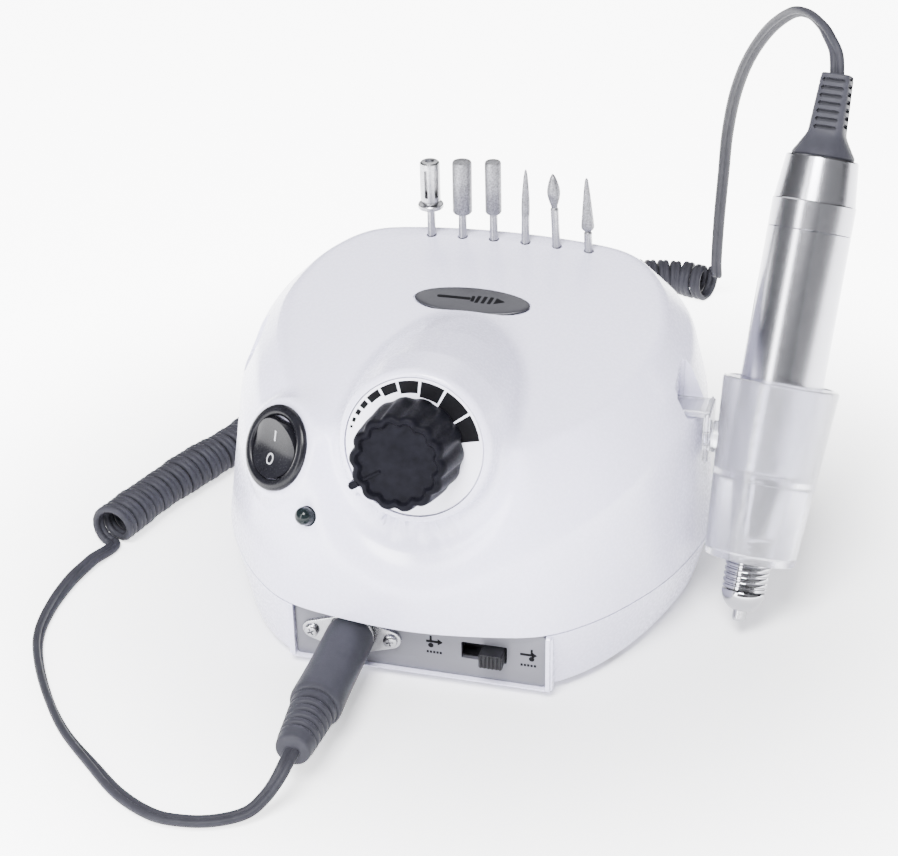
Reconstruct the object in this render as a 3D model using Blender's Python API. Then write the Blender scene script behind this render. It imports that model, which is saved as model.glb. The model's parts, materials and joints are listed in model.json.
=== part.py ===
"""Electric nail drill: control unit, handpiece in its holder, bits and the handpiece cord.

Design frame, millimetres: X right, Y back, Z up.  X = 0 is the casing's middle plane and
Z = 0 is the table.  Every solid is written in metres, moved so that the origin lies under
the middle of the unit.
"""
import bpy
import bmesh
from math import atan2, cos, pi, radians, sin
from mathutils import Matrix, Vector

MM = 0.001
ORIGIN = Vector((16.1, -4.3, 0.0))      # middle of the unit's box, seen from above
GAP = 0.3                               # clearance between neighbouring pieces

# casing
WALL = 2.5
BOTTOM_Z = 2.2
SEAM_Z = 20.0
CREST_Z = 86.0
OUTLINE_STEPS = 2                       # samples between two outline points
# each ring: half outline from the middle of the front to the middle of the back
BOTTOM_RING = ((0, -61.4), (17, -61.4), (32, -60.4), (43.5, -52), (52.5, -39), (59.5, -23),
               (65, -3), (65, 13), (59, 31), (47, 45), (27, 54.5), (0, 57.5))
SEAM_RING = ((0, -67), (18, -65.3), (34.5, -61.3), (46, -52.5), (56, -39.5), (64.5, -23),
             (70, -2), (69, 14), (62.5, 33), (50, 48), (28.5, 57.5), (0, 60.5))
CREASE_RING = ((0, -66.5, 38.5), (17, -64, 39.2), (30.5, -59, 42.5), (41, -51.5, 47),
               (51, -40, 51), (58.5, -24.5, 54.5), (65.5, -2, 56.5), (66, 14, 57),
               (60.5, 32, 57.5), (48.5, 46, 58), (28, 55, 58), (0, 58, 58))
SHOULDER_RING = ((0, -60.8, 54), (14.9, -59, 54), (26.8, -55.2, 56), (36.8, -47.5, 59),
                 (46.8, -36.3, 62), (54.8, -20, 65), (60.8, 0, 67.5), (61.5, 15.5, 70),
                 (58.5, 30, 73), (47.5, 42, 76), (27, 49.5, 77.5), (0, 51.5, 78))
TOP_RING = ((0, -54.5), (12.5, -54), (22, -51), (31, -42.7), (41, -31.6), (49, -15),
            (53.6, 3), (53.5, 17), (50, 29), (41, 38.5), (24, 42.5), (0, 43.5))
CREASE_SOFTNESS = 0.22                  # share of each step taken up by a rounded crease

# front panel and what is on it
PANEL_X = 1.5
PANEL_WIDTH = 69.0
PANEL_Y = -60.3
PANEL_LOW = 3.4
PANEL_THICK = 1.5
RIM_HALF = 36.5
SOCKET_X = -17.0
SOCKET_Z = 12.4
SLIDE_X = 20.3
SLIDE_Z = 11.8
SLIDE_TRAVEL = 5.2

# knob turret
DIAL = Vector((0.3, -56.2, 70.0))
DIAL_TILT = radians(15.0)
DIAL_AXIS = Vector((0, -cos(DIAL_TILT), sin(DIAL_TILT)))
DIAL_R = 18.2
TURRET_FACE_R = 20.0
TURRET_ROOT_R = 24.0
TURRET_LENGTH = 62.0
KNOB_R = 13.6
KNOB_TOP_R = 12.3
KNOB_HEIGHT = 15.5
POINTER_ANGLE = radians(212.0)

# power switch and lamp on the front left
ROCKER = Vector((-40.1, -46.2, 58.8))
ROCKER_AXIS = Vector((-0.50, -0.735, 0.46)).normalized()
BEZEL_R = 11.6
ROCKER_HOLE_R = 10.0
ROCKER_THROW = 14.0                     # degrees between its two resting positions
LAMP = Vector((-29.2, -59.2, 47.0))
LAMP_AXIS = Vector((-0.36, -0.80, 0.48)).normalized()

# oval badge on the roof
BADGE_Y = 7.0
BADGE_HALF = (16.7, 5.9)

# bits in the rear edge
BIT_SHANK_R = 1.175
BIT_FIRST_X = -19.6
BIT_STEP = 9.3
BIT_Y = 37.6
BIT_SEAT_Z = 74.0
BIT_RACK_TOP = 80.2

# fittings on the back
REAR_Y = 56.4
REAR_Z = 32.0
GLAND = Vector((-21.0, 59.4, 11.6))

# handpiece: origin at the tip, s runs up its axis
TIP = Vector((82.0, -22.0, 6.0))
PEN_AXIS = Vector((0.0704, 0.4269, 0.9015)).normalized()
PEN_R = 11.25
CUP_LOW, CUP_HIGH = 17.5, 66.5
PEG = Vector((70.6, -0.6, 51.0))

# cord
CORD_R = 1.95
COIL_R = 6.3
LIE_Z = 2.2
LOOP_ROUTE = ((-17.0, -112.6, 12.3), (-17.3, -116.0, 11.7), (-18.4, -119.6, 9.4),
              (-20.8, -122.9, 6.0), (-24.6, -126.2, 3.1),
              (-31.2, -129.6, 2.2), (-38.8, -131.6, 2.2), (-47.4, -131.2, 2.2),
              (-58.2, -126.0, 2.2), (-69.5, -116.8, 2.2), (-81.6, -106.1, 2.2),
              (-91.9, -93.6, 2.2), (-101.0, -79.4, 2.2), (-106.2, -67.6, 2.2),
              (-108.4, -54.5, 2.2), (-108.4, -41.0, 2.2), (-106.6, -30.5, 2.3),
              (-105.6, -26.2, 2.6))
COIL_ROUTE = ((-105.4, -17.9, 6.5), (-99.2, 3.3, 6.5), (-92.4, 21.5, 6.5), (-86.0, 36.0, 6.5),
              (-78.0, 60.0, 6.5), (-66.0, 92.0, 6.5), (-46.0, 129.0, 6.5),
              (-18.5, 161.0, 6.5), (10.0, 181.5, 6.5), (30.0, 187.0, 6.5),
              (43.5, 184.1, 6.5))
RISER_ROUTE = ((47.0, 182.4, 9.5), (46.6, 180.0, 17.5), (47.8, 171.0, 38.0), (49.9, 158.5, 60.5),
               (52.2, 144.0, 81.6), (56.4, 124.0, 103.2), (62.1, 104.0, 121.9),
               (69.4, 84.5, 137.9), (76.9, 68.0, 148.8), (82.1, 58.5, 152.2),
               (86.4, 52.0, 151.6), (89.5, 47.9, 149.0), (91.6, 44.9, 145.8),
               (92.6, 42.6, 142.1))

WHITE = (0.86, 0.86, 0.90, 1)
BLACK = (0.02, 0.02, 0.022, 1)
GREY = (0.13, 0.13, 0.14, 1)
SILVER = (0.62, 0.62, 0.64, 1)
STEEL = (0.55, 0.56, 0.58, 1)
CLEAR = (0.82, 0.83, 0.88, 1)


def clear_scene():
    for obj in list(bpy.data.objects):
        bpy.data.objects.remove(obj, do_unlink=True)


def material(name, colour, roughness, metallic=0.0):
    mat = bpy.data.materials.get(name) or bpy.data.materials.new(name)
    mat.use_nodes = True
    shader = mat.node_tree.nodes["Principled BSDF"]
    shader.inputs["Base Color"].default_value = colour
    shader.inputs["Roughness"].default_value = roughness
    shader.inputs["Metallic"].default_value = metallic
    return mat


def new_object(name, bm, finish, place=None, axis=None, smooth=35):
    """Turn a bmesh in millimetres into an object standing at a design point."""
    bmesh.ops.remove_doubles(bm, verts=bm.verts, dist=1e-4)
    bmesh.ops.recalc_face_normals(bm, faces=bm.faces)
    bmesh.ops.scale(bm, vec=(MM, MM, MM), verts=bm.verts)
    mesh = bpy.data.meshes.new(name)
    bm.to_mesh(mesh)
    bm.free()
    mesh.shade_smooth()
    mesh.set_sharp_from_angle(angle=radians(smooth))
    obj = bpy.data.objects.new(name, mesh)
    bpy.context.scene.collection.objects.link(obj)
    mesh.materials.append(finish)
    obj.location = ((place if place is not None else Vector((0, 0, 0))) - ORIGIN) * MM
    if axis is not None:
        obj.rotation_euler = axis_matrix(axis).to_euler()
    return obj


def axis_matrix(axis):
    """Rotation whose Z is the given axis and whose X stays level."""
    z = Vector(axis).normalized()
    side = Vector((0, 1, 0)).cross(z) if abs(z.z) > 0.95 else Vector((0, 0, 1)).cross(z)
    x = side.normalized()
    y = z.cross(x)
    return Matrix((x, y, z)).transposed()


def boolean(obj, other, operation="DIFFERENCE"):
    """Apply an exact boolean to obj and drop the other object."""
    modifier = obj.modifiers.new("cut", "BOOLEAN")
    modifier.operation = operation
    modifier.solver = "EXACT"
    modifier.object = other
    bpy.context.view_layer.update()
    graph = bpy.context.evaluated_depsgraph_get()
    mesh = bpy.data.meshes.new_from_object(obj.evaluated_get(graph))
    obj.modifiers.remove(modifier)
    old = obj.data
    obj.data = mesh
    mesh.shade_smooth()
    mesh.set_sharp_from_angle(angle=radians(35))
    bpy.data.meshes.remove(old)
    bpy.data.objects.remove(other, do_unlink=True)
    return obj


def turned(profile, sides=24):
    """Closed solid turned about Z from (radius, height) points, low to high on the outside."""
    profile = list(profile)
    flat_low = profile[0][0] < 1e-6 and profile[0][1] == profile[1][1]
    flat_high = profile[-1][0] < 1e-6 and profile[-1][1] == profile[-2][1]
    profile = profile[1 if flat_low else 0:-1 if flat_high else None]
    bm = bmesh.new()
    rings = []
    for radius, height in profile:
        if radius < 1e-6:
            rings.append([bm.verts.new((0, 0, height))])
            continue
        rings.append([bm.verts.new((radius * cos(2 * pi * i / sides),
                                    radius * sin(2 * pi * i / sides), height))
                      for i in range(sides)])
    pairs = list(zip(rings, rings[1:]))
    if flat_low:
        bm.faces.new(list(reversed(rings[0])))
    if flat_high:
        bm.faces.new(rings[-1])
    if not flat_low and not flat_high and len(rings[0]) > 1 and len(rings[-1]) > 1:
        pairs.append((rings[-1], rings[0]))
    for low, high in pairs:
        for i in range(sides):
            j = (i + 1) % sides
            if len(low) == 1 and len(high) > 1:
                bm.faces.new((low[0], high[j], high[i]))
            elif len(high) == 1 and len(low) > 1:
                bm.faces.new((low[i], low[j], high[0]))
            elif len(low) > 1:
                bm.faces.new((low[i], low[j], high[j], high[i]))
    return bm


def rod(radius, low, high, sides=20, top_radius=None):
    top = radius if top_radius is None else top_radius
    return turned(((0, low), (radius, low), (top, high), (0, high)), sides)


def tube(outer, inner, low, high, sides=24):
    return turned(((inner, low), (outer, low), (outer, high), (inner, high)), sides)


def block(size, centre=(0, 0, 0), soften=0.0):
    bm = bmesh.new()
    bmesh.ops.create_cube(bm, size=1.0)
    bmesh.ops.scale(bm, vec=size, verts=bm.verts)
    if soften:
        bmesh.ops.bevel(bm, geom=bm.edges[:], offset=soften, segments=2, affect="EDGES")
    bmesh.ops.translate(bm, vec=centre, verts=bm.verts)
    return bm


def cutter(bm, place=None, axis=None):
    return new_object("cutter", bm, material("cutter", WHITE, 0.5), place, axis)


def drill(obj, point, axis, radius, low, high, sides=24):
    return boolean(obj, cutter(rod(radius, low, high, sides), Vector(point), axis))


# ---------------------------------------------------------------- casing shells
def catmull(a, b, c, d, t):
    return 0.5 * ((2 * b) + (c - a) * t + (2 * a - 5 * b + 4 * c - d) * t * t
                  + (3 * b - a - 3 * c + d) * t ** 3)


def closed_ring(half, steps):
    """Smooth closed ring through a half outline and its mirror image."""
    points = [Vector(p) for p in half]
    points += [Vector((-p.x, p.y, p.z)) for p in reversed(points[1:-1])]
    count = len(points)
    ring = []
    for i in range(count):
        a, b, c, d = (points[(i + k) % count] for k in (-1, 0, 1, 2))
        ring += [catmull(a, b, c, d, s / steps) for s in range(steps)]
    return ring


def roof_height(x, y):
    """Height of the nearly flat roof, which climbs to the rear edge and is slightly crowned."""
    climb = min(max((y + 55.0) / 93.0, 0.0), 1.0)
    return 67.2 + (CREST_Z - 67.2) * (climb * 1.12 - 0.12 * climb ** 4) - 0.0012 * x * x


def inward(ring, amount):
    """Offset a ring towards its inside in plan."""
    count = len(ring)
    moved = []
    for i, point in enumerate(ring):
        run = ring[(i + 1) % count] - ring[i - 1]
        normal = Vector((-run.y, run.x, 0)).normalized()
        moved.append(point + normal * amount)
    return moved


def casing_rings(inset=0.0):
    """Rings of the whole closed casing from the floor to the roof, offset inwards."""
    def at(ring, z):
        return tuple((x, y, z) for x, y in ring)
    roof = tuple((x, y, roof_height(x, y)) for x, y in TOP_RING)
    steps = 1 if inset else OUTLINE_STEPS
    key = [closed_ring(r, steps) for r in (at(BOTTOM_RING, BOTTOM_Z), at(SEAM_RING, SEAM_Z),
                                           CREASE_RING, SHOULDER_RING, roof)]
    low_key = [p.lerp(q, 0.16) for p, q in zip(key[0], key[1])]
    rings = [key[0], low_key, key[1]]
    soft = CREASE_SOFTNESS
    for below, here, above in zip(key[1:], key[2:], key[3:]):
        rings.append([p.lerp(q, 1 - soft) for p, q in zip(below, here)])
        if not inset:
            rings.append([(p.lerp(q, 1 - soft / 3) + q.lerp(r, soft / 3)) * 0.2 + q * 0.6
                          for p, q, r in zip(below, here, above)])
        rings.append([q.lerp(r, soft) for q, r in zip(here, above)])
    rings.append([p.lerp(q, 0.86) for p, q in zip(key[3], key[4])])
    rings.append([Vector((p.x * 0.975, -2 + (p.y + 2) * 0.975,
                          roof_height(p.x * 0.975, p.y * 0.975) - 0.25)) for p in key[4]])
    for share in (0.93, 0.5):
        rings.append([Vector((p.x * share, -2 + (p.y + 2) * share,
                              roof_height(p.x * share, -2 + (p.y + 2) * share)))
                      for p in key[4]])
    if inset:
        rings = [inward(r, inset) for r in rings]
        for ring in rings[3:]:
            for p in ring:
                p.z -= inset * (0.25 if p.z < 60 else 0.9)
        for p in rings[0]:
            p.z += inset
        for p in rings[1]:
            p.z += inset
    return rings


def casing_solid(name, inset=0.0):
    rings = casing_rings(inset)
    bm = bmesh.new()
    loops = [[bm.verts.new(p) for p in ring] for ring in rings]
    count = len(loops[0])
    for low, high in zip(loops, loops[1:]):
        for i in range(count):
            j = (i + 1) % count
            bm.faces.new((low[i], low[j], high[j], high[i]))
    bm.faces.new(list(reversed(loops[0])))
    centre = bm.verts.new((0, -2, roof_height(0, -2) - (inset * 0.9 if inset else 0)))
    for i in range(count):
        bm.faces.new((loops[-1][i], loops[-1][(i + 1) % count], centre))
    bmesh.ops.triangulate(bm, faces=bm.faces[:])
    return new_object(name, bm, material("casing white", WHITE, 0.3))


SCREW_POSTS = ((-42, -18), (42, -18), (-38, 31), (38, 31))
FOOT_PLACES = ((-46, -36), (46, -36), (-42, 30), (42, 30))


def below(z):
    return cutter(block((300, 300, 200), (0, 0, z - 100)))


def above(z):
    return cutter(block((300, 300, 200), (0, 0, z + 100)))


def make_upper_casing():
    shell = boolean(casing_solid("upper_casing"), below(SEAM_Z + GAP / 2))
    turret = cutter(turned(((0, -TURRET_LENGTH), (TURRET_ROOT_R, -TURRET_LENGTH),
                            (TURRET_ROOT_R, -30), (22.6, -12), (TURRET_FACE_R + 0.6, -1.6),
                            (TURRET_FACE_R, -0.4), (TURRET_FACE_R - 0.7, 0), (0, 0)), 30),
                    DIAL, DIAL_AXIS)
    keep = cutter(block((140, 110, 110), (0, -12, SEAM_Z + 60)))
    turret = boolean(turret, keep, "INTERSECT")
    shell = boolean(shell, turret, "UNION")
    seat = cutter(rod(BEZEL_R + 1.2, -9, 0, 32, BEZEL_R + 0.9), ROCKER, ROCKER_AXIS)
    shell = boolean(shell, seat, "UNION")
    hollow = casing_solid("hollow", WALL)
    front_ledge = cutter(block((90, 12, 12), (0, -64.5, SEAM_Z + 1)))
    hollow = boolean(hollow, front_ledge)
    shell = boolean(shell, hollow)
    bore = cutter(turned(((0, -33), (TURRET_ROOT_R - 3.1, -33), (TURRET_FACE_R - 1.7, -4.1),
                          (0, -4.1)), 20), DIAL, DIAL_AXIS)
    shell = boolean(shell, bore)
    shell = drill(shell, DIAL, DIAL_AXIS, DIAL_R + 0.2, -1.5, 3, 30)
    shell = drill(shell, DIAL, DIAL_AXIS, 3.9, -8, 0, 18)
    shell = drill(shell, ROCKER, ROCKER_AXIS, ROCKER_HOLE_R, -14, 3, 24)
    shell = drill(shell, ROCKER, ROCKER_AXIS, BEZEL_R + 6, 0, 6, 24)
    shell = drill(shell, LAMP, LAMP_AXIS, 2.75, -12, 4, 14)
    for i in range(6):
        shell = drill(shell, (BIT_FIRST_X + i * BIT_STEP, BIT_Y, 0), (0, 0, 1),
                      BIT_SHANK_R + 0.35, 70, 95, 12)
    for side in (-1, 1):
        pocket = cutter(block((14, 13, 18), (side * 66.2, 0, 66.2)))
        shell = boolean(shell, pocket)
        slot = cutter(block((14, 9.2, 2.8), (side * 60, 0, 59.1)))
        shell = boolean(shell, slot)
    for x, y in SCREW_POSTS:
        post = cutter(rod(3.6, 10.0, roof_height(x, y) - 1.2, 12), Vector((x, y, 0)))
        shell = boolean(shell, post, "UNION")
        shell = drill(shell, (x, y, 0), (0, 0, 1), 1.5, 5, 26, 12)
    return shell


def make_lower_casing():
    shell = boolean(casing_solid("lower_casing"), above(SEAM_Z - GAP / 2))
    shell = boolean(shell, cutter(block((2 * RIM_HALF, 30, SEAM_Z - GAP / 2 - BOTTOM_Z),
                                        (PANEL_X, -46.5, (SEAM_Z - GAP / 2 + BOTTOM_Z) / 2))),
                    "UNION")
    shell = boolean(shell, cutter(block((200, 30, 60), (0, -76.5, 10))))
    shell = boolean(shell, cutter(block((200, 200, 1), (0, 0, BOTTOM_Z - 0.5))))
    hollow = boolean(casing_solid("hollow", WALL), above(SEAM_Z + 5))
    hollow = boolean(hollow, cutter(block((200, 30, 80), (0, -73.2, 10))))
    shell = boolean(shell, hollow)
    window = block((PANEL_WIDTH + 2 * GAP, 20, 30), (PANEL_X, -58.5, PANEL_LOW - GAP + 15))
    shell = boolean(shell, cutter(window))
    for x, y in SCREW_POSTS:
        boss = cutter(rod(4.4, 3.9, 9.5, 12), Vector((x, y, 0)))
        shell = boolean(shell, boss, "UNION")
        shell = drill(shell, (x, y, 0), (0, 0, 1), 1.8, 0, 12, 12)
        shell = drill(shell, (x, y, 0), (0, 0, 1), 3.4, 0, 6.6, 12)
    for x, y in FOOT_PLACES:
        shell = drill(shell, (x, y, 0), (0, 0, 1), 5.3, 0, 3.4, 14)
    return shell


# ---------------------------------------------------------------- fittings on the casing
def make_front_panel():
    low, high = PANEL_LOW, SEAM_Z - GAP / 2 - GAP
    panel = new_object("front_panel",
                       block((PANEL_WIDTH, PANEL_THICK, high - low),
                             (PANEL_X, PANEL_Y + PANEL_THICK / 2, (low + high) / 2)),
                       material("panel silver", SILVER, 0.35, 0.6))
    panel = drill(panel, (SOCKET_X, -60, SOCKET_Z), (0, 1, 0), 6.6, -5, 5, 20)
    for side in (-1, 1):
        panel = drill(panel, (SOCKET_X + side * 11, -60, SOCKET_Z), (0, 1, 0), 1.2, -5, 5, 12)
    window = cutter(block((12.4, 8, 5.2), (SLIDE_X, -60, SLIDE_Z)))
    return boolean(panel, window)


def make_din_socket():
    steel = material("bright steel", STEEL, 0.25, 1.0)
    flange_face = PANEL_Y - GAP
    socket = new_object("din_socket", block((27.5, 0.9, 12.4), (0, 0, 0), 0.2), steel,
                        Vector((SOCKET_X, flange_face - 0.45, SOCKET_Z)))
    for side in (-1, 1):
        for up in (-1, 1):
            corner = block((9, 4, 9), (0, 0, 0))
            turn = Matrix.Rotation(radians(45), 4, "Y")
            bmesh.ops.transform(corner, matrix=turn, verts=corner.verts)
            spot = Vector((SOCKET_X + side * 15.2, flange_face - 0.45, SOCKET_Z + up * 7.6))
            socket = boolean(socket, cutter(corner, spot))
    body = cutter(rod(6.3, -0.3, 12.0, 20), Vector((SOCKET_X, flange_face - 0.45, SOCKET_Z)),
                  (0, 1, 0))
    socket = boolean(socket, body, "UNION")
    socket = drill(socket, (SOCKET_X, flange_face, SOCKET_Z), (0, 1, 0), 5.05, -4, 9.5, 20)
    for side in (-1, 1):
        socket = drill(socket, (SOCKET_X + side * 11, flange_face, SOCKET_Z), (0, 1, 0),
                       1.2, -5, 5, 12)
    return socket


def screw(name, place, axis, head_r, head_high, shank_r, length):
    """Pan-head screw, head resting on the surface at Z = 0, shank below it."""
    profile = ((0, -length), (shank_r * 0.4, -length), (shank_r, -length + 1.2),
               (shank_r, 0), (head_r, 0), (head_r, head_high * 0.55),
               (head_r * 0.6, head_high), (0, head_high))
    body = new_object(name, turned(profile, 12), material("screw steel", STEEL, 0.3, 1.0),
                      Vector(place), axis)
    for turn in (0, pi / 2) if head_r < 2.5 else (0,):
        arm = block((head_r * 1.2, head_r * 0.26, 2), (0, 0, head_high + 0.25))
        bmesh.ops.rotate(arm, matrix=Matrix.Rotation(turn, 3, "Z"), verts=arm.verts,
                         cent=(0, 0, 0))
        body = boolean(body, cutter(arm, Vector(place), axis))
    return body


def make_screws_and_feet():
    for name, side in (("socket_screw_left", -1), ("socket_screw_right", 1)):
        screw(name, (SOCKET_X + side * 11, PANEL_Y - GAP - 0.9 - GAP, SOCKET_Z), (0, -1, 0),
              1.95, 1.3, 0.85, 7.0)
    rubber = material("black rubber", BLACK, 0.8)
    for i, (x, y) in enumerate(SCREW_POSTS):
        screw(f"casing_screw_{i + 1}", (x, y, 6.3), (0, 0, -1), 3.0, 2.1, 1.25, 17.0)
    for i, (x, y) in enumerate(FOOT_PLACES):
        profile = ((0, 0), (4.4, 0), (5.0, 0.6), (5.0, 3.1), (0, 3.1))
        new_object(f"rubber_foot_{i + 1}", turned(profile, 14), rubber, Vector((x, y, 0)))


def make_slide_switch(body_name, slider_name, x, front_y, z, facing, rest_shift):
    """Slide switch behind a wall: facing is -1 at the front of the unit and 1 at the back."""
    dark = material("black plastic", BLACK, 0.4)
    back = -facing
    centre_y = front_y + back * 4.3
    body = new_object(body_name, block((21, 8, 9.4), (0, 0, 0), 0.4), dark,
                      Vector((x, centre_y, z)))
    body = boolean(body, cutter(block((13.2, 7, 5.6)), Vector((x, front_y, z))))
    slider_bm = block((6.4, 8.6, 4.2), (0, 0, 0), 0.35)
    slider = new_object(slider_name, slider_bm, dark,
                        Vector((x + rest_shift, front_y + facing * 1.9, z)))
    for k in range(4):
        groove = cutter(block((0.7, 1.2, 6)),
                        Vector((x + rest_shift - 2.1 + 1.4 * k, front_y + facing * 6.4, z)))
        slider = boolean(slider, groove)
    return body, slider


def make_rocker():
    dark = material("black gloss", BLACK, 0.25)
    ring = turned(((8.6, 1.3), (8.6, -6.0), (0, -6.0), (0, -13), (9.7, -13), (9.7, GAP - 0.1),
                   (BEZEL_R, GAP - 0.1), (BEZEL_R, 1.2), (BEZEL_R - 1.0, 2.0), (9.4, 2.0)), 24)
    new_object("rocker_bezel", ring, dark, ROCKER, ROCKER_AXIS)
    profile = ((-7.0, -3.4), (7.0, -3.4), (7.3, 2.8), (4.0, 1.9), (0, 1.5), (-4.0, 1.9),
               (-7.3, 2.8))
    bm = bmesh.new()
    sides = []
    for x in (-6.2, 6.2):
        sides.append([bm.verts.new((x, y, z)) for y, z in profile])
    bm.faces.new(sides[0])
    bm.faces.new(list(reversed(sides[1])))
    for i in range(len(profile)):
        j = (i + 1) % len(profile)
        bm.faces.new((sides[0][i], sides[1][i], sides[1][j], sides[0][j]))
    paddle = new_object("power_rocker", bm, dark, ROCKER, ROCKER_AXIS)
    round_off = cutter(rod(8.1, -8, 8, 28), ROCKER, ROCKER_AXIS)
    paddle = boolean(paddle, round_off, "INTERSECT")
    tilt = Matrix.Rotation(radians(ROCKER_THROW / 2), 3, "X")
    paddle.rotation_euler = (axis_matrix(ROCKER_AXIS) @ tilt).to_euler()
    return paddle


def make_knob_group():
    dark = material("black plastic", BLACK, 0.4)
    steel = material("bright steel", STEEL, 0.25, 1.0)
    new_object("dial_plate", tube(DIAL_R - 0.1, 6.7, -1.2, -0.4, 30),
               material("dial white", WHITE, 0.4), DIAL, DIAL_AXIS)
    pot = turned(((3.2, 1.2), (3.7, 1.2), (3.7, -4.6), (8.5, -4.6), (8.5, -14), (0, -14),
                  (0, -12.4), (3.2, -12.4)), 20)
    new_object("pot_body", pot, steel, DIAL, DIAL_AXIS)
    nut = turned(((4.7, 0.6), (6.4, 0.6), (6.4, -1.2), (4.7, -1.2)), 6)
    new_object("pot_nut", nut, steel, DIAL, DIAL_AXIS)
    new_object("pot_shaft", rod(2.9, -12.1, 12.0, 14), steel, DIAL, DIAL_AXIS)
    lobes = 14
    count = lobes * 4
    shape = ((0, 1.0), (2.6, 1.0), (KNOB_HEIGHT - 5, 0.955), (KNOB_HEIGHT - 1.2, 0.925),
             (KNOB_HEIGHT, 0.86))
    bm = bmesh.new()
    rings = []
    for height, share in shape:
        ring = []
        for i in range(count):
            angle = 2 * pi * i / count
            dip = 0.55 * (0.5 - 0.5 * cos(lobes * angle)) if height > 0 else 0.3
            radius = KNOB_R * share - dip
            ring.append(bm.verts.new((radius * cos(angle), radius * sin(angle),
                                      height + GAP + 0.5)))
        rings.append(ring)
    for low, high in zip(rings, rings[1:]):
        for i in range(count):
            j = (i + 1) % count
            bm.faces.new((low[i], low[j], high[j], high[i]))
    bm.faces.new(list(reversed(rings[0])))
    bm.faces.new(rings[-1])
    knob = new_object("speed_knob", bm, dark, DIAL, DIAL_AXIS)
    nub = block((3.2, 1.9, 6.5), (KNOB_TOP_R + 0.4, 0, KNOB_HEIGHT - 3.0), 0.3)
    bmesh.ops.rotate(nub, matrix=Matrix.Rotation(POINTER_ANGLE, 3, "Z"), verts=nub.verts,
                     cent=(0, 0, 0))
    knob = boolean(knob, cutter(nub, DIAL, DIAL_AXIS), "UNION")
    knob = drill(knob, DIAL, DIAL_AXIS, 7.0, -2, 3.2, 18)
    return drill(knob, DIAL, DIAL_AXIS, 3.1, 0, 12.4, 14)


def make_lamp_and_badge():
    lens = turned(((0, -8), (2.45, -8), (2.45, 0.3), (2.1, 1.5), (1.2, 2.2), (0, 2.45)), 14)
    new_object("power_lamp", lens, material("dark lens", (0.05, 0.03, 0.03, 1), 0.1),
               LAMP, LAMP_AXIS)


def badge_frame():
    step = 1.0
    rise = roof_height(0, BADGE_Y + step) - roof_height(0, BADGE_Y - step)
    axis = Vector((0, -rise / (2 * step), 1)).normalized()
    return Vector((0, BADGE_Y, roof_height(0, BADGE_Y))), axis


def ellipse_solid(half_x, half_y, low, high, sides=40):
    bm = turned(((0, low), (1, low), (1, high), (0, high)), sides)
    bmesh.ops.scale(bm, vec=(half_x, half_y, 1), verts=bm.verts)
    return bm


def make_badge(shell):
    place, axis = badge_frame()
    pocket = ellipse_solid(BADGE_HALF[0] + GAP, BADGE_HALF[1] + GAP, -0.7, 5)
    level = cutter(pocket, place, (0, axis.y, axis.z))
    level.rotation_euler = (atan2(-axis.y, axis.z), 0, 0)
    shell = boolean(shell, level)
    badge = new_object("name_badge", ellipse_solid(BADGE_HALF[0], BADGE_HALF[1], -0.4, 0.5),
                       material("badge silver", SILVER, 0.3, 0.8), place)
    badge.rotation_euler = (atan2(-axis.y, axis.z), 0, 0)
    return shell


# ---------------------------------------------------------------- inside the casing
def make_insides():
    steel = material("lamination steel", (0.25, 0.25, 0.27, 1), 0.5, 0.8)
    core_place = Vector((15, 16, 24.1))
    core = new_object("transformer_core", block((46, 20, 38)), steel, core_place)
    for side in (-1, 1):
        core = boolean(core, cutter(block((9, 30, 22)), core_place + Vector((side * 12.5, 0, 0))))
    winding = new_object("transformer_winding", block((33.4, 34, 21), (0, 0, 0), 1.2),
                         material("copper winding", (0.55, 0.25, 0.1, 1), 0.4, 0.6), core_place)
    boolean(winding, cutter(block((16.6, 20.6, 40)), core_place))
    board_place = Vector((-31, 6.5, 14))
    board = new_object("circuit_board", block((40, 38, 1.6)),
                       material("board green", (0.03, 0.22, 0.08, 1), 0.5), board_place)
    for x in (-16, 16):
        for y in (-15, 15):
            leg = cutter(rod(2.0, -9.0, 0.2, 12), board_place + Vector((x, y, 0)))
            board = boolean(board, leg, "UNION")
    new_object("filter_capacitor",
               turned(((0, 0), (5, 0), (5, 1.2), (4.7, 1.8), (5, 2.4), (5, 18), (0, 18)), 18),
               material("capacitor sleeve", (0.02, 0.03, 0.08, 1), 0.4), Vector((-22, 16, 15.2)))
    sink = new_object("heat_sink", block((24, 9, 18)), material("aluminium", SILVER, 0.45, 1.0),
                      Vector((-34, -4, 24.2)))
    for k in range(5):
        fin_gap = cutter(block((2.4, 7, 30)), Vector((-43.6 + 4.8 * k, -7.5, 24.2)))
        sink = boolean(sink, fin_gap)
    rack = new_object("bit_rack", block((56, 6.4, 10.6), (0, 0, 0), 0.4),
                      material("rack grey", GREY, 0.6),
                      Vector((BIT_FIRST_X + 2.5 * BIT_STEP, BIT_Y - 0.8, BIT_RACK_TOP - 5.6)))
    for i in range(6):
        rack = drill(rack, (BIT_FIRST_X + i * BIT_STEP, BIT_Y, 0), (0, 0, 1),
                     BIT_SHANK_R + 0.3, BIT_SEAT_Z - GAP - 3.2, 95, 12)


def rear_recess(shell):
    """Thicken the back wall and sink a flat seat into it for the sockets."""
    backing = cutter(block((62, 4, 18), (0, REAR_Y - 2, REAR_Z)))
    shell = boolean(shell, backing, "UNION")
    seat = cutter(block((59, 12, 15.4), (0, REAR_Y + 6, REAR_Z)))
    shell = boolean(shell, seat)
    shell = drill(shell, (-20, REAR_Y, REAR_Z), (0, 1, 0), 5.7, -8, 8, 20)
    shell = drill(shell, (1, REAR_Y, REAR_Z), (0, 1, 0), 3.9, -8, 8, 18)
    return boolean(shell, cutter(block((12.4, 14, 5.2), (20, REAR_Y, REAR_Z))))


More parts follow.
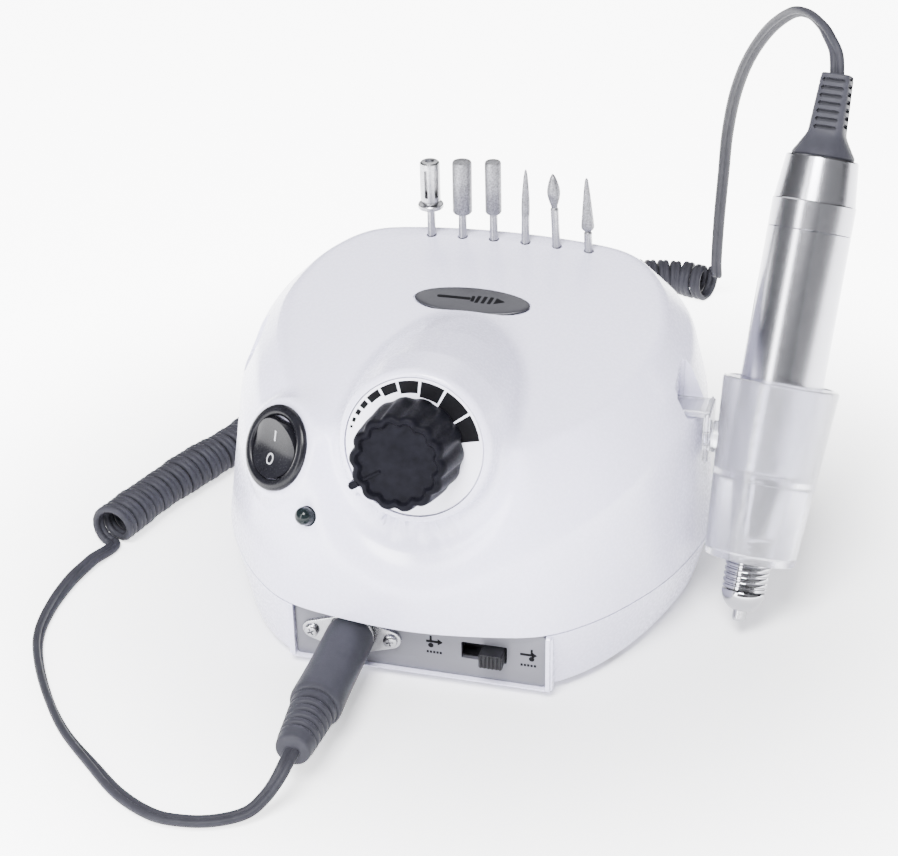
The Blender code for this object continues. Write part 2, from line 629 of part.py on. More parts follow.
def gland_seat(shell):
    pad = cutter(rod(7.2, -7.5, 0, 20), GLAND, (0, 1, 0))
    shell = boolean(shell, pad, "UNION")
    return drill(shell, GLAND, (0, 1, 0), 4.6, -12, 8, 20)


def make_rear_fittings():
    dark = material("black plastic", BLACK, 0.4)
    holder = turned(((3.2, 1.8), (7.0, 1.8), (7.0, GAP), (5.4, GAP), (5.4, -16), (0, -16),
                     (0, -14.5), (3.2, -14.5)), 20)
    fuse_place = Vector((-20, REAR_Y, REAR_Z))
    new_object("fuse_holder", holder, dark, fuse_place, (0, 1, 0))
    cap = turned(((0, -11), (2.9, -11), (2.9, 2.1), (5.6, 2.1), (5.6, 4.4), (5.0, 5.0),
                  (0, 5.0)), 20)
    fuse_cap = new_object("fuse_cap", cap, dark, fuse_place, (0, 1, 0))
    slot = cutter(block((8.5, 1.2, 2.0), (0, 0, 5.0)), fuse_place, (0, 1, 0))
    boolean(fuse_cap, slot)
    jack_place = Vector((1, REAR_Y, REAR_Z))
    jack = new_object("foot_pedal_jack", block((11, 10, 9), (0, -9.4, 0), 0.4), dark, jack_place)
    bush = turned(((0, -5.0), (3.6, -5.0), (3.6, GAP), (5.2, GAP), (5.2, 1.9), (0, 1.9)), 18)
    jack = boolean(jack, cutter(bush, jack_place, (0, 1, 0)), "UNION")
    jack = drill(jack, jack_place, (0, 1, 0), 1.85, -13, 5, 14)
    gland = turned(((2.7, -9.5), (5.6, -9.5), (5.6, -7.9), (4.3, -7.7), (4.3, GAP), (6.6, GAP),
                    (6.6, 1.8), (4.6, 4.2), (4.2, 7.0), (2.7, 7.0)), 20)
    new_object("mains_gland", gland, dark, GLAND, (0, 1, 0))


# ---------------------------------------------------------------- handpiece and holder
def pen(name, profile, finish, sides=24):
    return new_object(name, turned(profile, sides), finish, TIP, PEN_AXIS)


def lofted(sections, sides=20):
    """Solid through level rounded-rectangle sections of (half x, half y, height, power)."""
    bm = bmesh.new()
    rings = []
    for half_x, half_y, height, power in sections:
        ring = []
        for i in range(sides):
            c, s = cos(2 * pi * i / sides), sin(2 * pi * i / sides)
            size = (abs(c) ** power + abs(s) ** power) ** (-1 / power)
            ring.append(bm.verts.new((half_x * size * c, half_y * size * s, height)))
        rings.append(ring)
    for low, high in zip(rings, rings[1:]):
        for i in range(sides):
            j = (i + 1) % sides
            bm.faces.new((low[i], low[j], high[j], high[i]))
    bm.faces.new(list(reversed(rings[0])))
    bm.faces.new(rings[-1])
    return bm


def make_handpiece():
    satin = material("satin aluminium", (0.66, 0.66, 0.68, 1), 0.3, 1.0)
    chrome = material("chrome", (0.75, 0.75, 0.77, 1), 0.1, 1.0)
    steel = material("bright steel", STEEL, 0.25, 1.0)
    grey = material("grey rubber", GREY, 0.6)
    pen("handpiece_barrel", ((8.95, 41.5), (10.6, 41.5), (PEN_R, 42.4), (PEN_R, 107.8),
                             (9.75, 107.8), (9.75, 56.0), (8.95, 54.8)), satin, 24)
    pen("handpiece_cap", ((3.3, 125.4), (8.2, 125.4), (9.75, 118), (9.75, 108.1),
                          (PEN_R, 108.1), (PEN_R, 120.2), (9.7, 127.8), (3.3, 127.8)),
        chrome, 24)
    pen("front_housing", ((2.4, 8.9), (4.4, 8.9), (4.4, 24.9), (6.6, 24.9), (8.6, 41.2),
                          (8.6, 54.4), (5.6, 54.4), (5.6, 46.0), (2.4, 46.0)), chrome)
    pen("nose_cone", ((2.35, 3.3), (3.5, 3.3), (5.2, 5.2), (6.05, 7.6), (6.05, 8.6),
                      (2.35, 8.6)), chrome)
    sleeve = [(4.7, 9.1), (6.1, 9.1)]
    for k in range(6):
        low = 9.9 + 2.4 * k
        edge = 6.15 + 0.08 * k
        sleeve += [(edge, low), (edge, low + 1.5), (edge - 0.45, low + 1.95)]
    sleeve += [(6.6, 24.6), (4.7, 24.6)]
    pen("grip_sleeve", sleeve, steel, 18)
    pen("spindle_collet", ((1.25, 0), (1.7, 0), (2.0, 0.8), (2.0, 56.6), (0, 56.6), (0, 12),
                           (1.25, 12)), steel, 14)
    pen("front_bearing", ((2.3, 46.3), (5.3, 46.3), (5.3, 50.5), (2.3, 50.5)), steel, 18)
    pen("handpiece_motor", ((0, 57.0), (3.0, 57.0), (3.0, 58.2), (9.2, 58.2), (9.2, 102),
                            (4.0, 102), (4.0, 104.5), (0, 104.5)), steel, 20)
    boot_bm = lofted(((3.0, 3.0, 124.2, 2), (3.0, 3.0, 128.1, 2), (8.5, 8.5, 128.11, 2),
                      (6.6, 6.4, 131.4, 2.3), (5.0, 4.6, 134.2, 3.2), (4.1, 3.7, 150.2, 3.2)))
    boot = new_object("handpiece_boot", boot_bm, grey, TIP, PEN_AXIS)
    for side in (-1, 1):
        for k in range(6):
            notch = cutter(block((4.4, 2.6, 1.0), (0, side * 5.0, 136.2 + 2.4 * k)),
                           TIP, PEN_AXIS)
            boot = boolean(boot, notch)
    return boot


def make_holder():
    clear = material("clear plastic", CLEAR, 0.2)
    inner_top = 14.1
    cup = new_object("holder_cup",
                     turned(((7.4, CUP_LOW), (12.5, CUP_LOW), (15.9, CUP_HIGH),
                             (inner_top, CUP_HIGH), (12.45, 41.2), (9.2, 41.2), (9.2, 39.4),
                             (12.3, 39.4), (10.8, CUP_LOW + 1.8), (7.4, CUP_LOW + 1.8)), 24),
                     clear, TIP, PEN_AXIS)
    peg = turned(((0, -3.6), (1.9, -3.6), (1.9, -0.9), (4.5, -0.9), (4.5, 1.5), (0, 1.5)), 18)
    cup = boolean(cup, cutter(peg, PEG, (1, 0, 0)), "UNION")
    plate = new_object("holder_bracket", block((1.8, 12, 15), (68.5, -0.6, 52.8), 0.3), clear)
    tongue = cutter(block((12.6, 8.6, 2.0), (63.0, 0, 59.2)))
    plate = boolean(plate, tongue, "UNION")
    return drill(plate, PEG, (1, 0, 0), 2.2, -6, 6, 14)


# ---------------------------------------------------------------- bits
def bit_profile(kind, top):
    shank = ((0, BIT_SEAT_Z), (0.9, BIT_SEAT_Z), (BIT_SHANK_R, BIT_SEAT_Z + 0.4))
    heads = {
        "mandrel": ((BIT_SHANK_R, top - 14.6), (3.7, top - 14.0), (3.7, top - 13.0),
                    (2.2, top - 12.7), (2.2, top - 12.2), (2.9, top - 12.0), (2.9, top - 0.4),
                    (2.4, top), (0, top)),
        "barrel": ((BIT_SHANK_R, top - 16.0), (2.5, top - 15.5), (2.8, top - 15.1),
                   (2.8, top - 0.5), (2.3, top), (0, top)),
        "slim_barrel": ((BIT_SHANK_R, top - 16.0), (2.1, top - 15.5), (2.35, top - 15.1),
                        (2.35, top - 0.5), (1.9, top), (0, top)),
        "needle": ((BIT_SHANK_R, top - 14), (1.25, top - 12), (0.95, top - 6), (0.35, top - 0.4),
                   (0, top)),
        "flame": ((BIT_SHANK_R, top - 10.6), (0.8, top - 10.0), (1.3, top - 8.2),
                  (1.9, top - 5.6), (1.5, top - 3.0), (0.6, top - 0.7), (0, top)),
        "cone": ((BIT_SHANK_R, top - 16.6), (0.8, top - 16.0), (1.5, top - 15.6),
                 (1.85, top - 14.8), (1.2, top - 7), (0.45, top - 0.6), (0, top)),
    }
    return shank + heads[kind]


BIT_KINDS = (("mandrel", 108.4), ("barrel", 109.2), ("slim_barrel", 110.0),
             ("needle", 108.4), ("flame", 107.8), ("cone", 107.4))


def make_bits():
    steel = material("bit steel", (0.5, 0.5, 0.52, 1), 0.35, 1.0)
    for i, (kind, top) in enumerate(BIT_KINDS):
        place = Vector((BIT_FIRST_X + i * BIT_STEP, BIT_Y, 0))
        new_object(f"bit_{kind}", turned(bit_profile(kind, top), 12), steel, place)


# ---------------------------------------------------------------- plug and cord
def make_plug():
    grey = material("grey rubber", GREY, 0.6)
    steel = material("bright steel", STEEL, 0.25, 1.0)
    place = Vector((SOCKET_X, PANEL_Y - GAP - 0.9 - GAP, SOCKET_Z))
    body = turned(((5.0, 0), (6.3, 0), (6.6, 1.2), (6.6, 14), (6.9, 26), (7.0, 30.4),
                   (6.2, 32.0), (0, 32.0), (0, 5.0), (5.0, 5.0)), 24)
    new_object("plug_body", body, grey, place, (0, -1, 0))
    shell = new_object("plug_shell",
                       turned(((0, 1.0), (4.2, 1.0), (4.2, -7.6), (4.7, -7.6), (4.7, 4.7),
                               (0, 4.7)), 20), steel, place, (0, -1, 0))
    for k in range(4):
        angle = radians(45 + 90 * k)
        pin = rod(0.5, -6.4, 1.4, 8)
        bmesh.ops.translate(pin, vec=(2.3 * cos(angle), 2.3 * sin(angle), 0), verts=pin.verts)
        shell = boolean(shell, cutter(pin, place, (0, -1, 0)), "UNION")
    relief = [(0, 32.3), (6.0, 32.3), (6.0, 34.6)]
    for k in range(4):
        low = 35.2 + 3.1 * k
        edge = 5.75 - 0.28 * k
        relief += [(edge - 0.8, low), (edge, low + 0.4), (edge, low + 2.5)]
    relief += [(3.9, 47.6), (4.6, 48.0), (4.4, 50.0), (0, 50.0)]
    new_object("plug_strain_relief", turned(relief, 14), grey, place, (0, -1, 0))


def smooth_route(points, spacing):
    """Points at even spacing along a smooth curve through the route's own points."""
    route = [Vector(p) for p in points]
    route = [route[0] * 2 - route[1]] + route + [route[-1] * 2 - route[-2]]
    fine = []
    for i in range(1, len(route) - 2):
        a, b, c, d = route[i - 1:i + 3]
        fine += [catmull(a, b, c, d, s / 12) for s in range(12)]
    fine.append(route[-2])
    travelled = [0.0]
    for p, q in zip(fine, fine[1:]):
        travelled.append(travelled[-1] + (q - p).length)
    count = max(int(travelled[-1] / spacing), 4)
    even, k = [], 0
    for i in range(count + 1):
        want = travelled[-1] * i / count
        while k < len(fine) - 2 and travelled[k + 1] < want:
            k += 1
        share = (want - travelled[k]) / (travelled[k + 1] - travelled[k])
        even.append(fine[k].lerp(fine[k + 1], share))
    return even, travelled[-1]


def cord_tube(name, points, radius, spacing, finish, resolution):
    even, length = smooth_route(points, spacing)
    curve = bpy.data.curves.new(name, "CURVE")
    curve.dimensions = "3D"
    curve.bevel_depth = radius * MM
    curve.bevel_resolution = resolution
    curve.use_fill_caps = True
    spline = curve.splines.new("POLY")
    spline.points.add(len(even) - 1)
    for point, place in zip(spline.points, even):
        point.co = (*(place * MM), 1)
    curve.materials.append(finish)
    obj = bpy.data.objects.new(name, curve)
    bpy.context.scene.collection.objects.link(obj)
    obj.location = -ORIGIN * MM
    return obj, length


def make_cord():
    grey = material("grey rubber", GREY, 0.6)
    cord_tube("cord_front", LOOP_ROUTE, CORD_R, 7.5, grey, 2)
    cord_tube("cord_coil", COIL_ROUTE, COIL_R, 15.0, grey, 3)
    cord_tube("cord_riser", RISER_ROUTE, CORD_R, 7.5, grey, 2)


def main():
    clear_scene()
    shell = make_upper_casing()
    shell = rear_recess(shell)
    make_badge(shell)
    gland_seat(make_lower_casing())
    make_front_panel()
    make_din_socket()
    make_screws_and_feet()
    make_slide_switch("direction_switch_body", "direction_slider", SLIDE_X,
                      PANEL_Y + PANEL_THICK + GAP, SLIDE_Z, -1, SLIDE_TRAVEL / 2)
    make_slide_switch("mode_switch_body", "mode_slider", 20, REAR_Y - 4.0 - GAP, REAR_Z, 1,
                      -SLIDE_TRAVEL / 2)
    make_rocker()
    make_knob_group()
    make_lamp_and_badge()
    make_insides()
    make_rear_fittings()
    make_handpiece()
    make_holder()
    make_bits()
    make_plug()
    make_cord()


main()
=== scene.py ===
"""Photographic scene of the electric nail drill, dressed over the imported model.

Lengths are in millimetres in the design frame (X right, Y back, Z up, table at Z = 0)
and are moved into the row frame, in metres, by at().
"""
import json
from math import cos, pi, radians, sin

import bmesh
import bpy
import numpy as np
from mathutils import Matrix, Vector
from mathutils.bvhtree import BVHTree


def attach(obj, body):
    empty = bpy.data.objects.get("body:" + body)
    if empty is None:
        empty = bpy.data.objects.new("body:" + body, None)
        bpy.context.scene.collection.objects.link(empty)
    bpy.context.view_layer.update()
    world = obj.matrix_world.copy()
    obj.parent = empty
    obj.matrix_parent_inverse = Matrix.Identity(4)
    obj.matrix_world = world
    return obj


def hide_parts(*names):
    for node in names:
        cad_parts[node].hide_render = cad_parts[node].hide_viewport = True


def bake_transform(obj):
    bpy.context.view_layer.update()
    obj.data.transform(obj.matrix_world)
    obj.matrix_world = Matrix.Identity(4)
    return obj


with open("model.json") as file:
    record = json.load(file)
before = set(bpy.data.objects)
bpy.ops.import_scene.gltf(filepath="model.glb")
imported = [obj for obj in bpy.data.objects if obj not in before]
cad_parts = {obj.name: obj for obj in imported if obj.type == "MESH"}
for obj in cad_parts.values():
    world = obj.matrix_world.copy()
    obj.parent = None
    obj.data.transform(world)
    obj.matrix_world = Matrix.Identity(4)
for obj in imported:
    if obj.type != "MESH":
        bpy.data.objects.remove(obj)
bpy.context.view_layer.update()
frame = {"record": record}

MM = 0.001
ORIGIN = Vector((16.1, -4.3, 0.0))
joints = {j["name"]: j for j in frame["record"]["behaviour"]["joints"]}


def at(x, y, z):
    return (Vector((x, y, z)) - ORIGIN) * MM


def joint_frame(name):
    """Pivot in design millimetres, and axis, of a joint in the record."""
    joint = joints[name]
    return Vector(joint["pos_m"]) / MM + ORIGIN, Vector(joint["axis"]).normalized()


DIAL, DIAL_AXIS = joint_frame("speed_knob_turn")
ROCKER, _ = joint_frame("power_rocker_tilt")
ROCKER_AXIS = Vector((-0.50, -0.735, 0.46)).normalized()
TIP, PEN_AXIS = joint_frame("grip_sleeve_turn")
FUSE, _ = joint_frame("fuse_cap_turn")

# ---------------------------------------------------------------- camera
CAM_PLACE = (125.65, -486.46, 334.57)
CAM_AZIMUTH, CAM_ELEVATION, CAM_ROLL = radians(15.073), radians(30.028), radians(-1.024)
CAM_LENS = 81.97


def make_camera():
    a, e, r = CAM_AZIMUTH, CAM_ELEVATION, CAM_ROLL
    back = Vector((sin(a) * cos(e), -cos(a) * cos(e), sin(e)))
    right = Vector((cos(a), sin(a), 0))
    up = back.cross(right)
    data = bpy.data.cameras.new("photo_camera")
    data.sensor_width = 36
    data.lens = CAM_LENS
    data.clip_start, data.clip_end = 0.01, 20
    camera = bpy.data.objects.new("photo_camera", data)
    turn = Matrix((right * cos(r) + up * sin(r), up * cos(r) - right * sin(r), back)).transposed()
    camera.matrix_world = Matrix.Translation(at(*CAM_PLACE)) @ turn.to_4x4()
    bpy.context.scene.collection.objects.link(camera)
    bpy.context.scene.camera = camera


make_camera()


# ---------------------------------------------------------------- finishes
def finish(name, colour, roughness, metallic=0.0, tint=0.04, tint_size=6.0, grain=0.35,
           bump=0.02, stretch=(1, 1, 1), rough_swing=0.06, coat=0.0, clear=0.0, gloss=0.5):
    """Node material: base colour drifts, roughness varies and a fine grain lifts the surface.

    tint_size and grain are feature sizes in millimetres, bump a height in millimetres.
    """
    mat = bpy.data.materials.new(name)
    mat.use_nodes = True
    nodes, links = mat.node_tree.nodes, mat.node_tree.links
    shader = nodes["Principled BSDF"]
    shader.inputs["Metallic"].default_value = metallic
    shader.inputs["Specular IOR Level"].default_value = gloss
    shader.inputs["Coat Weight"].default_value = coat
    shader.inputs["Coat Roughness"].default_value = 0.12
    if clear:
        shader.inputs["Transmission Weight"].default_value = clear
        shader.inputs["IOR"].default_value = 1.46
    where = nodes.new("ShaderNodeTexCoord")
    scaled = nodes.new("ShaderNodeMapping")
    scaled.inputs["Scale"].default_value = stretch
    links.new(where.outputs["Object"], scaled.inputs["Vector"])
    broad = nodes.new("ShaderNodeTexNoise")
    broad.inputs["Scale"].default_value = 1000.0 / tint_size
    broad.inputs["Detail"].default_value = 3
    links.new(scaled.outputs["Vector"], broad.inputs["Vector"])
    fine = nodes.new("ShaderNodeTexNoise")
    fine.inputs["Scale"].default_value = 1000.0 / grain
    fine.inputs["Detail"].default_value = 4
    links.new(scaled.outputs["Vector"], fine.inputs["Vector"])
    ramp = nodes.new("ShaderNodeValToRGB")
    ramp.color_ramp.elements[0].position = 0.3
    ramp.color_ramp.elements[1].position = 0.7
    ramp.color_ramp.elements[0].color = (*[c * (1 - tint) for c in colour], 1)
    ramp.color_ramp.elements[1].color = (*[min(c * (1 + tint), 1) for c in colour], 1)
    links.new(broad.outputs["Fac"], ramp.inputs["Fac"])
    links.new(ramp.outputs["Color"], shader.inputs["Base Color"])
    swing = nodes.new("ShaderNodeMapRange")
    swing.inputs["From Min"].default_value = 0.3
    swing.inputs["From Max"].default_value = 0.7
    swing.inputs["To Min"].default_value = max(roughness - rough_swing, 0.02)
    swing.inputs["To Max"].default_value = roughness + rough_swing
    links.new(fine.outputs["Fac"], swing.inputs["Value"])
    links.new(swing.outputs["Result"], shader.inputs["Roughness"])
    relief = nodes.new("ShaderNodeBump")
    relief.inputs["Strength"].default_value = 0.6
    relief.inputs["Distance"].default_value = bump * MM
    links.new(fine.outputs["Fac"], relief.inputs["Height"])
    links.new(relief.outputs["Normal"], shader.inputs["Normal"])
    return mat


CASING = finish("white_moulding", (0.61, 0.60, 0.76), 0.27, tint=0.012, tint_size=40,
                grain=0.9, bump=0.003, rough_swing=0.03, coat=0.3)
PANEL = finish("silver_panel", (0.13, 0.13, 0.15), 0.42, 0.5, tint=0.04, grain=0.12,
               bump=0.006, stretch=(0.15, 1, 1), rough_swing=0.08)
DIAL_WHITE = finish("dial_white", (0.76, 0.75, 0.86), 0.35, tint=0.01, grain=0.5, bump=0.004)
INK = finish("printed_black", (0.004, 0.004, 0.005), 0.55, tint=0.2, grain=0.3, bump=0.003,
             gloss=0.04)
MARK = finish("printed_grey", (0.30, 0.30, 0.32), 0.45, tint=0.06, grain=0.3, bump=0.003)
BLACK = finish("black_plastic", (0.010, 0.010, 0.012), 0.38, tint=0.25, tint_size=3, grain=0.28,
               bump=0.012, rough_swing=0.1, gloss=0.15)
BLACK_GLOSS = finish("black_gloss", (0.006, 0.006, 0.008), 0.24, tint=0.2, tint_size=4,
                     grain=0.5, bump=0.004, rough_swing=0.06, gloss=0.14)
KNOB = finish("knob_black", (0.004, 0.004, 0.006), 0.46, tint=0.3, tint_size=2.5, grain=0.35,
              bump=0.016, rough_swing=0.1, gloss=0.03)
LENS = finish("dark_lens", (0.006, 0.009, 0.010), 0.12, tint=0.2, grain=0.6, bump=0.002,
              gloss=0.15)
RUBBER = finish("grey_cord", (0.024, 0.024, 0.030), 0.5, tint=0.1, tint_size=4, grain=0.4,
                bump=0.01, rough_swing=0.08, gloss=0.08)
PLUG_GREY = finish("grey_plug", (0.026, 0.026, 0.033), 0.52, tint=0.08, tint_size=3, grain=0.3,
                   bump=0.016, rough_swing=0.08, gloss=0.1)
FOOT = finish("black_rubber", (0.012, 0.012, 0.012), 0.8, tint=0.2, grain=0.4, bump=0.03,
              gloss=0.2)
STEEL = finish("bright_steel", (0.38, 0.38, 0.40), 0.24, 1.0, tint=0.06, tint_size=2, grain=0.2,
               bump=0.004, rough_swing=0.08)
SATIN = finish("satin_aluminium", (0.36, 0.36, 0.39), 0.22, 1.0, tint=0.02, tint_size=2.0,
               grain=0.16, bump=0.0015, stretch=(0.06, 0.06, 1.6), rough_swing=0.04)
CHROME = finish("chrome", (0.36, 0.36, 0.38), 0.14, 1.0, tint=0.02, tint_size=5, grain=0.5,
                bump=0.001, stretch=(0.1, 0.1, 1.2), rough_swing=0.04)
BADGE = finish("badge_silver", (0.035, 0.035, 0.042), 0.36, 0.5, tint=0.06, tint_size=2,
               grain=0.15, bump=0.005, stretch=(0.2, 1, 1), rough_swing=0.08)
GRIT = finish("diamond_grit", (0.20, 0.20, 0.215), 0.5, 1.0, tint=0.4, tint_size=0.5,
              grain=0.35, bump=0.10, rough_swing=0.15)
BIT_STEEL = finish("bit_steel", (0.33, 0.33, 0.345), 0.30, 1.0, tint=0.1, tint_size=1.5,
                   grain=0.2, bump=0.008, rough_swing=0.1)
FROST = finish("frosted_clear", (0.80, 0.80, 0.87), 0.20, tint=0.01, tint_size=20, grain=1.6,
               bump=0.015, rough_swing=0.06, clear=0.9)
HOLE = finish("dark_hole", (0.01, 0.01, 0.01), 0.9, tint=0.2, grain=0.6, bump=0.02)


# ---------------------------------------------------------------- building helpers
def axis_matrix(axis):
    """Rotation whose Z is the given axis and whose X stays level."""
    z = Vector(axis).normalized()
    side = Vector((0, 1, 0)).cross(z) if abs(z.z) > 0.95 else Vector((0, 0, 1)).cross(z)
    x = side.normalized()
    return Matrix((x, z.cross(x), z)).transposed()


def raw_object(name, bm, look, place=Vector(), axis=None, smooth=35):
    """Object from a bmesh in millimetres, standing at a design point and turned to an axis."""
    bmesh.ops.remove_doubles(bm, verts=bm.verts, dist=1e-4)
    bmesh.ops.recalc_face_normals(bm, faces=bm.faces)
    bmesh.ops.scale(bm, vec=(MM, MM, MM), verts=bm.verts)
    mesh = bpy.data.meshes.new(name)
    bm.to_mesh(mesh)
    bm.free()
    mesh.shade_smooth()
    mesh.set_sharp_from_angle(angle=radians(smooth))
    mesh.materials.append(look)
    obj = bpy.data.objects.new(name, mesh)
    bpy.context.scene.collection.objects.link(obj)
    turn = axis_matrix(axis).to_4x4() if axis is not None else Matrix.Identity(4)
    obj.matrix_world = Matrix.Translation(at(*place)) @ turn
    return obj


def piece(name, bm, look, body, place=Vector(), axis=None, nodes=(), smooth=35, soften=0.0):
    """A finished piece: bevelled, riding on its body and standing in for its CAD nodes."""
    obj = raw_object(name, bm, look, place, axis, smooth)
    return dress(obj, body, nodes, soften)


def dress(obj, body, nodes=(), soften=0.0):
    if soften:
        edge = obj.modifiers.new("soft_edges", "BEVEL")
        edge.width = soften * MM
        edge.segments = 3
        edge.limit_method = "ANGLE"
        edge.angle_limit = radians(38)
        edge.harden_normals = False
    if nodes:
        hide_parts(*nodes)
    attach(obj, body)
    return obj


def cut(obj, cutters, operation="DIFFERENCE"):
    """One exact boolean with all the cutters, which are dropped afterwards."""
    group = bpy.data.collections.new("cutters")
    for c in cutters:
        group.objects.link(c)
    modifier = obj.modifiers.new("cut", "BOOLEAN")
    modifier.operation = operation
    modifier.solver = "EXACT"
    modifier.operand_type = "COLLECTION"
    modifier.collection = group
    bpy.context.view_layer.update()
    graph = bpy.context.evaluated_depsgraph_get()
    mesh = bpy.data.meshes.new_from_object(obj.evaluated_get(graph))
    obj.modifiers.remove(modifier)
    look = obj.data.materials[0]
    obj.data = mesh
    mesh.materials.clear()
    mesh.materials.append(look)
    mesh.polygons.foreach_set("material_index", [0] * len(mesh.polygons))
    mesh.shade_smooth()
    mesh.set_sharp_from_angle(angle=radians(32))
    for c in cutters:
        bpy.data.objects.remove(c, do_unlink=True)
    bpy.data.collections.remove(group)
    return obj


def turned(profile, sides=72):
    """Closed solid turned about Z from (radius, height) points."""
    profile = list(profile)
    flat_low = profile[0][0] < 1e-6 and profile[0][1] == profile[1][1]
    flat_high = profile[-1][0] < 1e-6 and profile[-1][1] == profile[-2][1]
    profile = profile[1 if flat_low else 0:-1 if flat_high else None]
    bm = bmesh.new()
    rings = []
    for radius, height in profile:
        if radius < 1e-6:
            rings.append([bm.verts.new((0, 0, height))])
            continue
        rings.append([bm.verts.new((radius * cos(2 * pi * i / sides),
                                    radius * sin(2 * pi * i / sides), height))
                      for i in range(sides)])
    pairs = list(zip(rings, rings[1:]))
    if flat_low:
        bm.faces.new(list(reversed(rings[0])))
    if flat_high:
        bm.faces.new(rings[-1])
    if not flat_low and not flat_high and len(rings[0]) > 1 and len(rings[-1]) > 1:
        pairs.append((rings[-1], rings[0]))
    for low, high in pairs:
        for i in range(sides):
            j = (i + 1) % sides
            if len(low) == 1 and len(high) > 1:
                bm.faces.new((low[0], high[j], high[i]))
            elif len(high) == 1 and len(low) > 1:
                bm.faces.new((low[i], low[j], high[0]))
            elif len(low) > 1:
                bm.faces.new((low[i], low[j], high[j], high[i]))
    return bm


def rod(radius, low, high, sides=48, top_radius=None):
    top = radius if top_radius is None else top_radius
    return turned(((0, low), (radius, low), (top, high), (0, high)), sides)


def block(size, centre=(0, 0, 0), soften=0.0, segments=3):
    bm = bmesh.new()
    bmesh.ops.create_cube(bm, size=1.0)
    bmesh.ops.scale(bm, vec=size, verts=bm.verts)
    if soften:
        bmesh.ops.bevel(bm, geom=bm.edges[:], offset=soften, segments=segments, affect="EDGES")
    bmesh.ops.translate(bm, vec=centre, verts=bm.verts)
    return bm


def cutter(bm, place=Vector(), axis=None):
    return raw_object("cutter", bm, HOLE, Vector(place), axis)


def merge(parts):
    """Join separate bmeshes into one."""
    whole = bmesh.new()
    for bm in parts:
        mesh = bpy.data.meshes.new("part")
        bm.to_mesh(mesh)
        bm.free()
        whole.from_mesh(mesh)
        bpy.data.meshes.remove(mesh)
    return whole


def moved(bm, matrix):
    bmesh.ops.transform(bm, matrix=matrix, verts=bm.verts)
    return bm


def skinned(bm, rings):
    """Close rows of equally many corners into a solid with a flat face at both ends."""
    count = len(rings[0])
    for low, high in zip(rings, rings[1:]):
        for i in range(count):
            j = (i + 1) % count
            bm.faces.new((low[i], low[j], high[j], high[i]))
    bm.faces.new(list(reversed(rings[0])))
    bm.faces.new(rings[-1])
    return bm


# ---------------------------------------------------------------- cord
LOOP_ROUTE = ((-17.0, -111.3, 12.4), (-17.3, -116.0, 11.7), (-18.4, -119.6, 9.4),
              (-20.8, -122.9, 6.0), (-24.6, -126.2, 3.1),
              (-31.2, -129.6, 2.2), (-38.8, -131.6, 2.2), (-47.4, -131.2, 2.2),
              (-58.2, -126.0, 2.2), (-69.5, -116.8, 2.2), (-81.6, -106.1, 2.2),
              (-91.9, -93.6, 2.2), (-101.0, -79.4, 2.2), (-106.2, -67.6, 2.2),
              (-108.4, -54.5, 2.2), (-108.4, -41.0, 2.2), (-106.6, -30.5, 2.3))
COIL_ROUTE = ((-105.4, -17.9, 6.5), (-99.2, 3.3, 6.5), (-92.4, 21.5, 6.5), (-86.0, 36.0, 6.5),
              (-78.0, 60.0, 6.5), (-66.0, 92.0, 6.5), (-46.0, 129.0, 6.5),
              (-18.5, 161.0, 6.5), (10.0, 181.5, 6.5), (30.0, 187.0, 6.5),
              (43.5, 184.1, 6.5))
RISER_ROUTE = ((47.0, 182.4, 9.5), (46.6, 180.0, 17.5), (47.8, 171.0, 38.0), (49.9, 158.5, 60.5),
               (52.2, 144.0, 81.6), (56.4, 124.0, 103.2), (62.1, 104.0, 121.9),
               (69.4, 84.5, 137.9), (76.9, 68.0, 148.8), (82.1, 58.5, 152.2),
               (86.4, 52.0, 151.6), (89.5, 47.9, 149.0), (91.6, 44.9, 145.8),
               (92.5, 41.6, 140.6))
STRAND_R, STRAND_APART = 1.06, 0.93       # the twin cord's two strands
COIL_RADIUS = 5.25                       # to the middle of the cord
COIL_PITCH = 4.5


def catmull(a, b, c, d, t):
    return 0.5 * ((2 * b) + (c - a) * t + (2 * a - 5 * b + 4 * c - d) * t * t
                  + (3 * b - a - 3 * c + d) * t ** 3)


def smooth_route(points, spacing):
    """Evenly spaced points on a smooth curve through the route, as an array."""
    route = [Vector(p) for p in points]
    route = [route[0] * 2 - route[1]] + route + [route[-1] * 2 - route[-2]]
    fine = []
    for i in range(1, len(route) - 2):
        a, b, c, d = route[i - 1:i + 3]
        fine += [catmull(a, b, c, d, s / 24) for s in range(24)]
    fine.append(route[-2])
    fine = np.array([tuple(p) for p in fine])
    run = np.concatenate([[0], np.cumsum(np.linalg.norm(np.diff(fine, axis=0), axis=1))])
    want = np.linspace(0, run[-1], max(int(run[-1] / spacing), 4) + 1)
    return np.stack([np.interp(want, run, fine[:, k]) for k in range(3)], 1)


def unit_rows(v):
    return v / np.linalg.norm(v, axis=1)[:, None]


def carried_frames(path, first_side):
    """Side and up vectors along a path, carried with the least twist."""
    ahead = unit_rows(np.gradient(path, axis=0))
    side = np.array(first_side, float)
    sides = []
    for t in ahead:
        side = side - t * side.dot(t)
        side /= np.linalg.norm(side)
        sides.append(side.copy())
    sides = np.array(sides)
    return ahead, sides, np.cross(ahead, sides)


def twin_section(count=24):
    """Outline of the twin cord: two round strands side by side with a groove between."""
    outline = []
    for i in range(count):
        angle = 2 * pi * i / count
        c, d = abs(cos(angle)), abs(sin(angle))
        reach = STRAND_APART * c + (STRAND_R ** 2 - (STRAND_APART * d) ** 2) ** 0.5
        outline.append((reach * cos(angle), max(reach, 0.6) * sin(angle)))
    return np.array(outline)


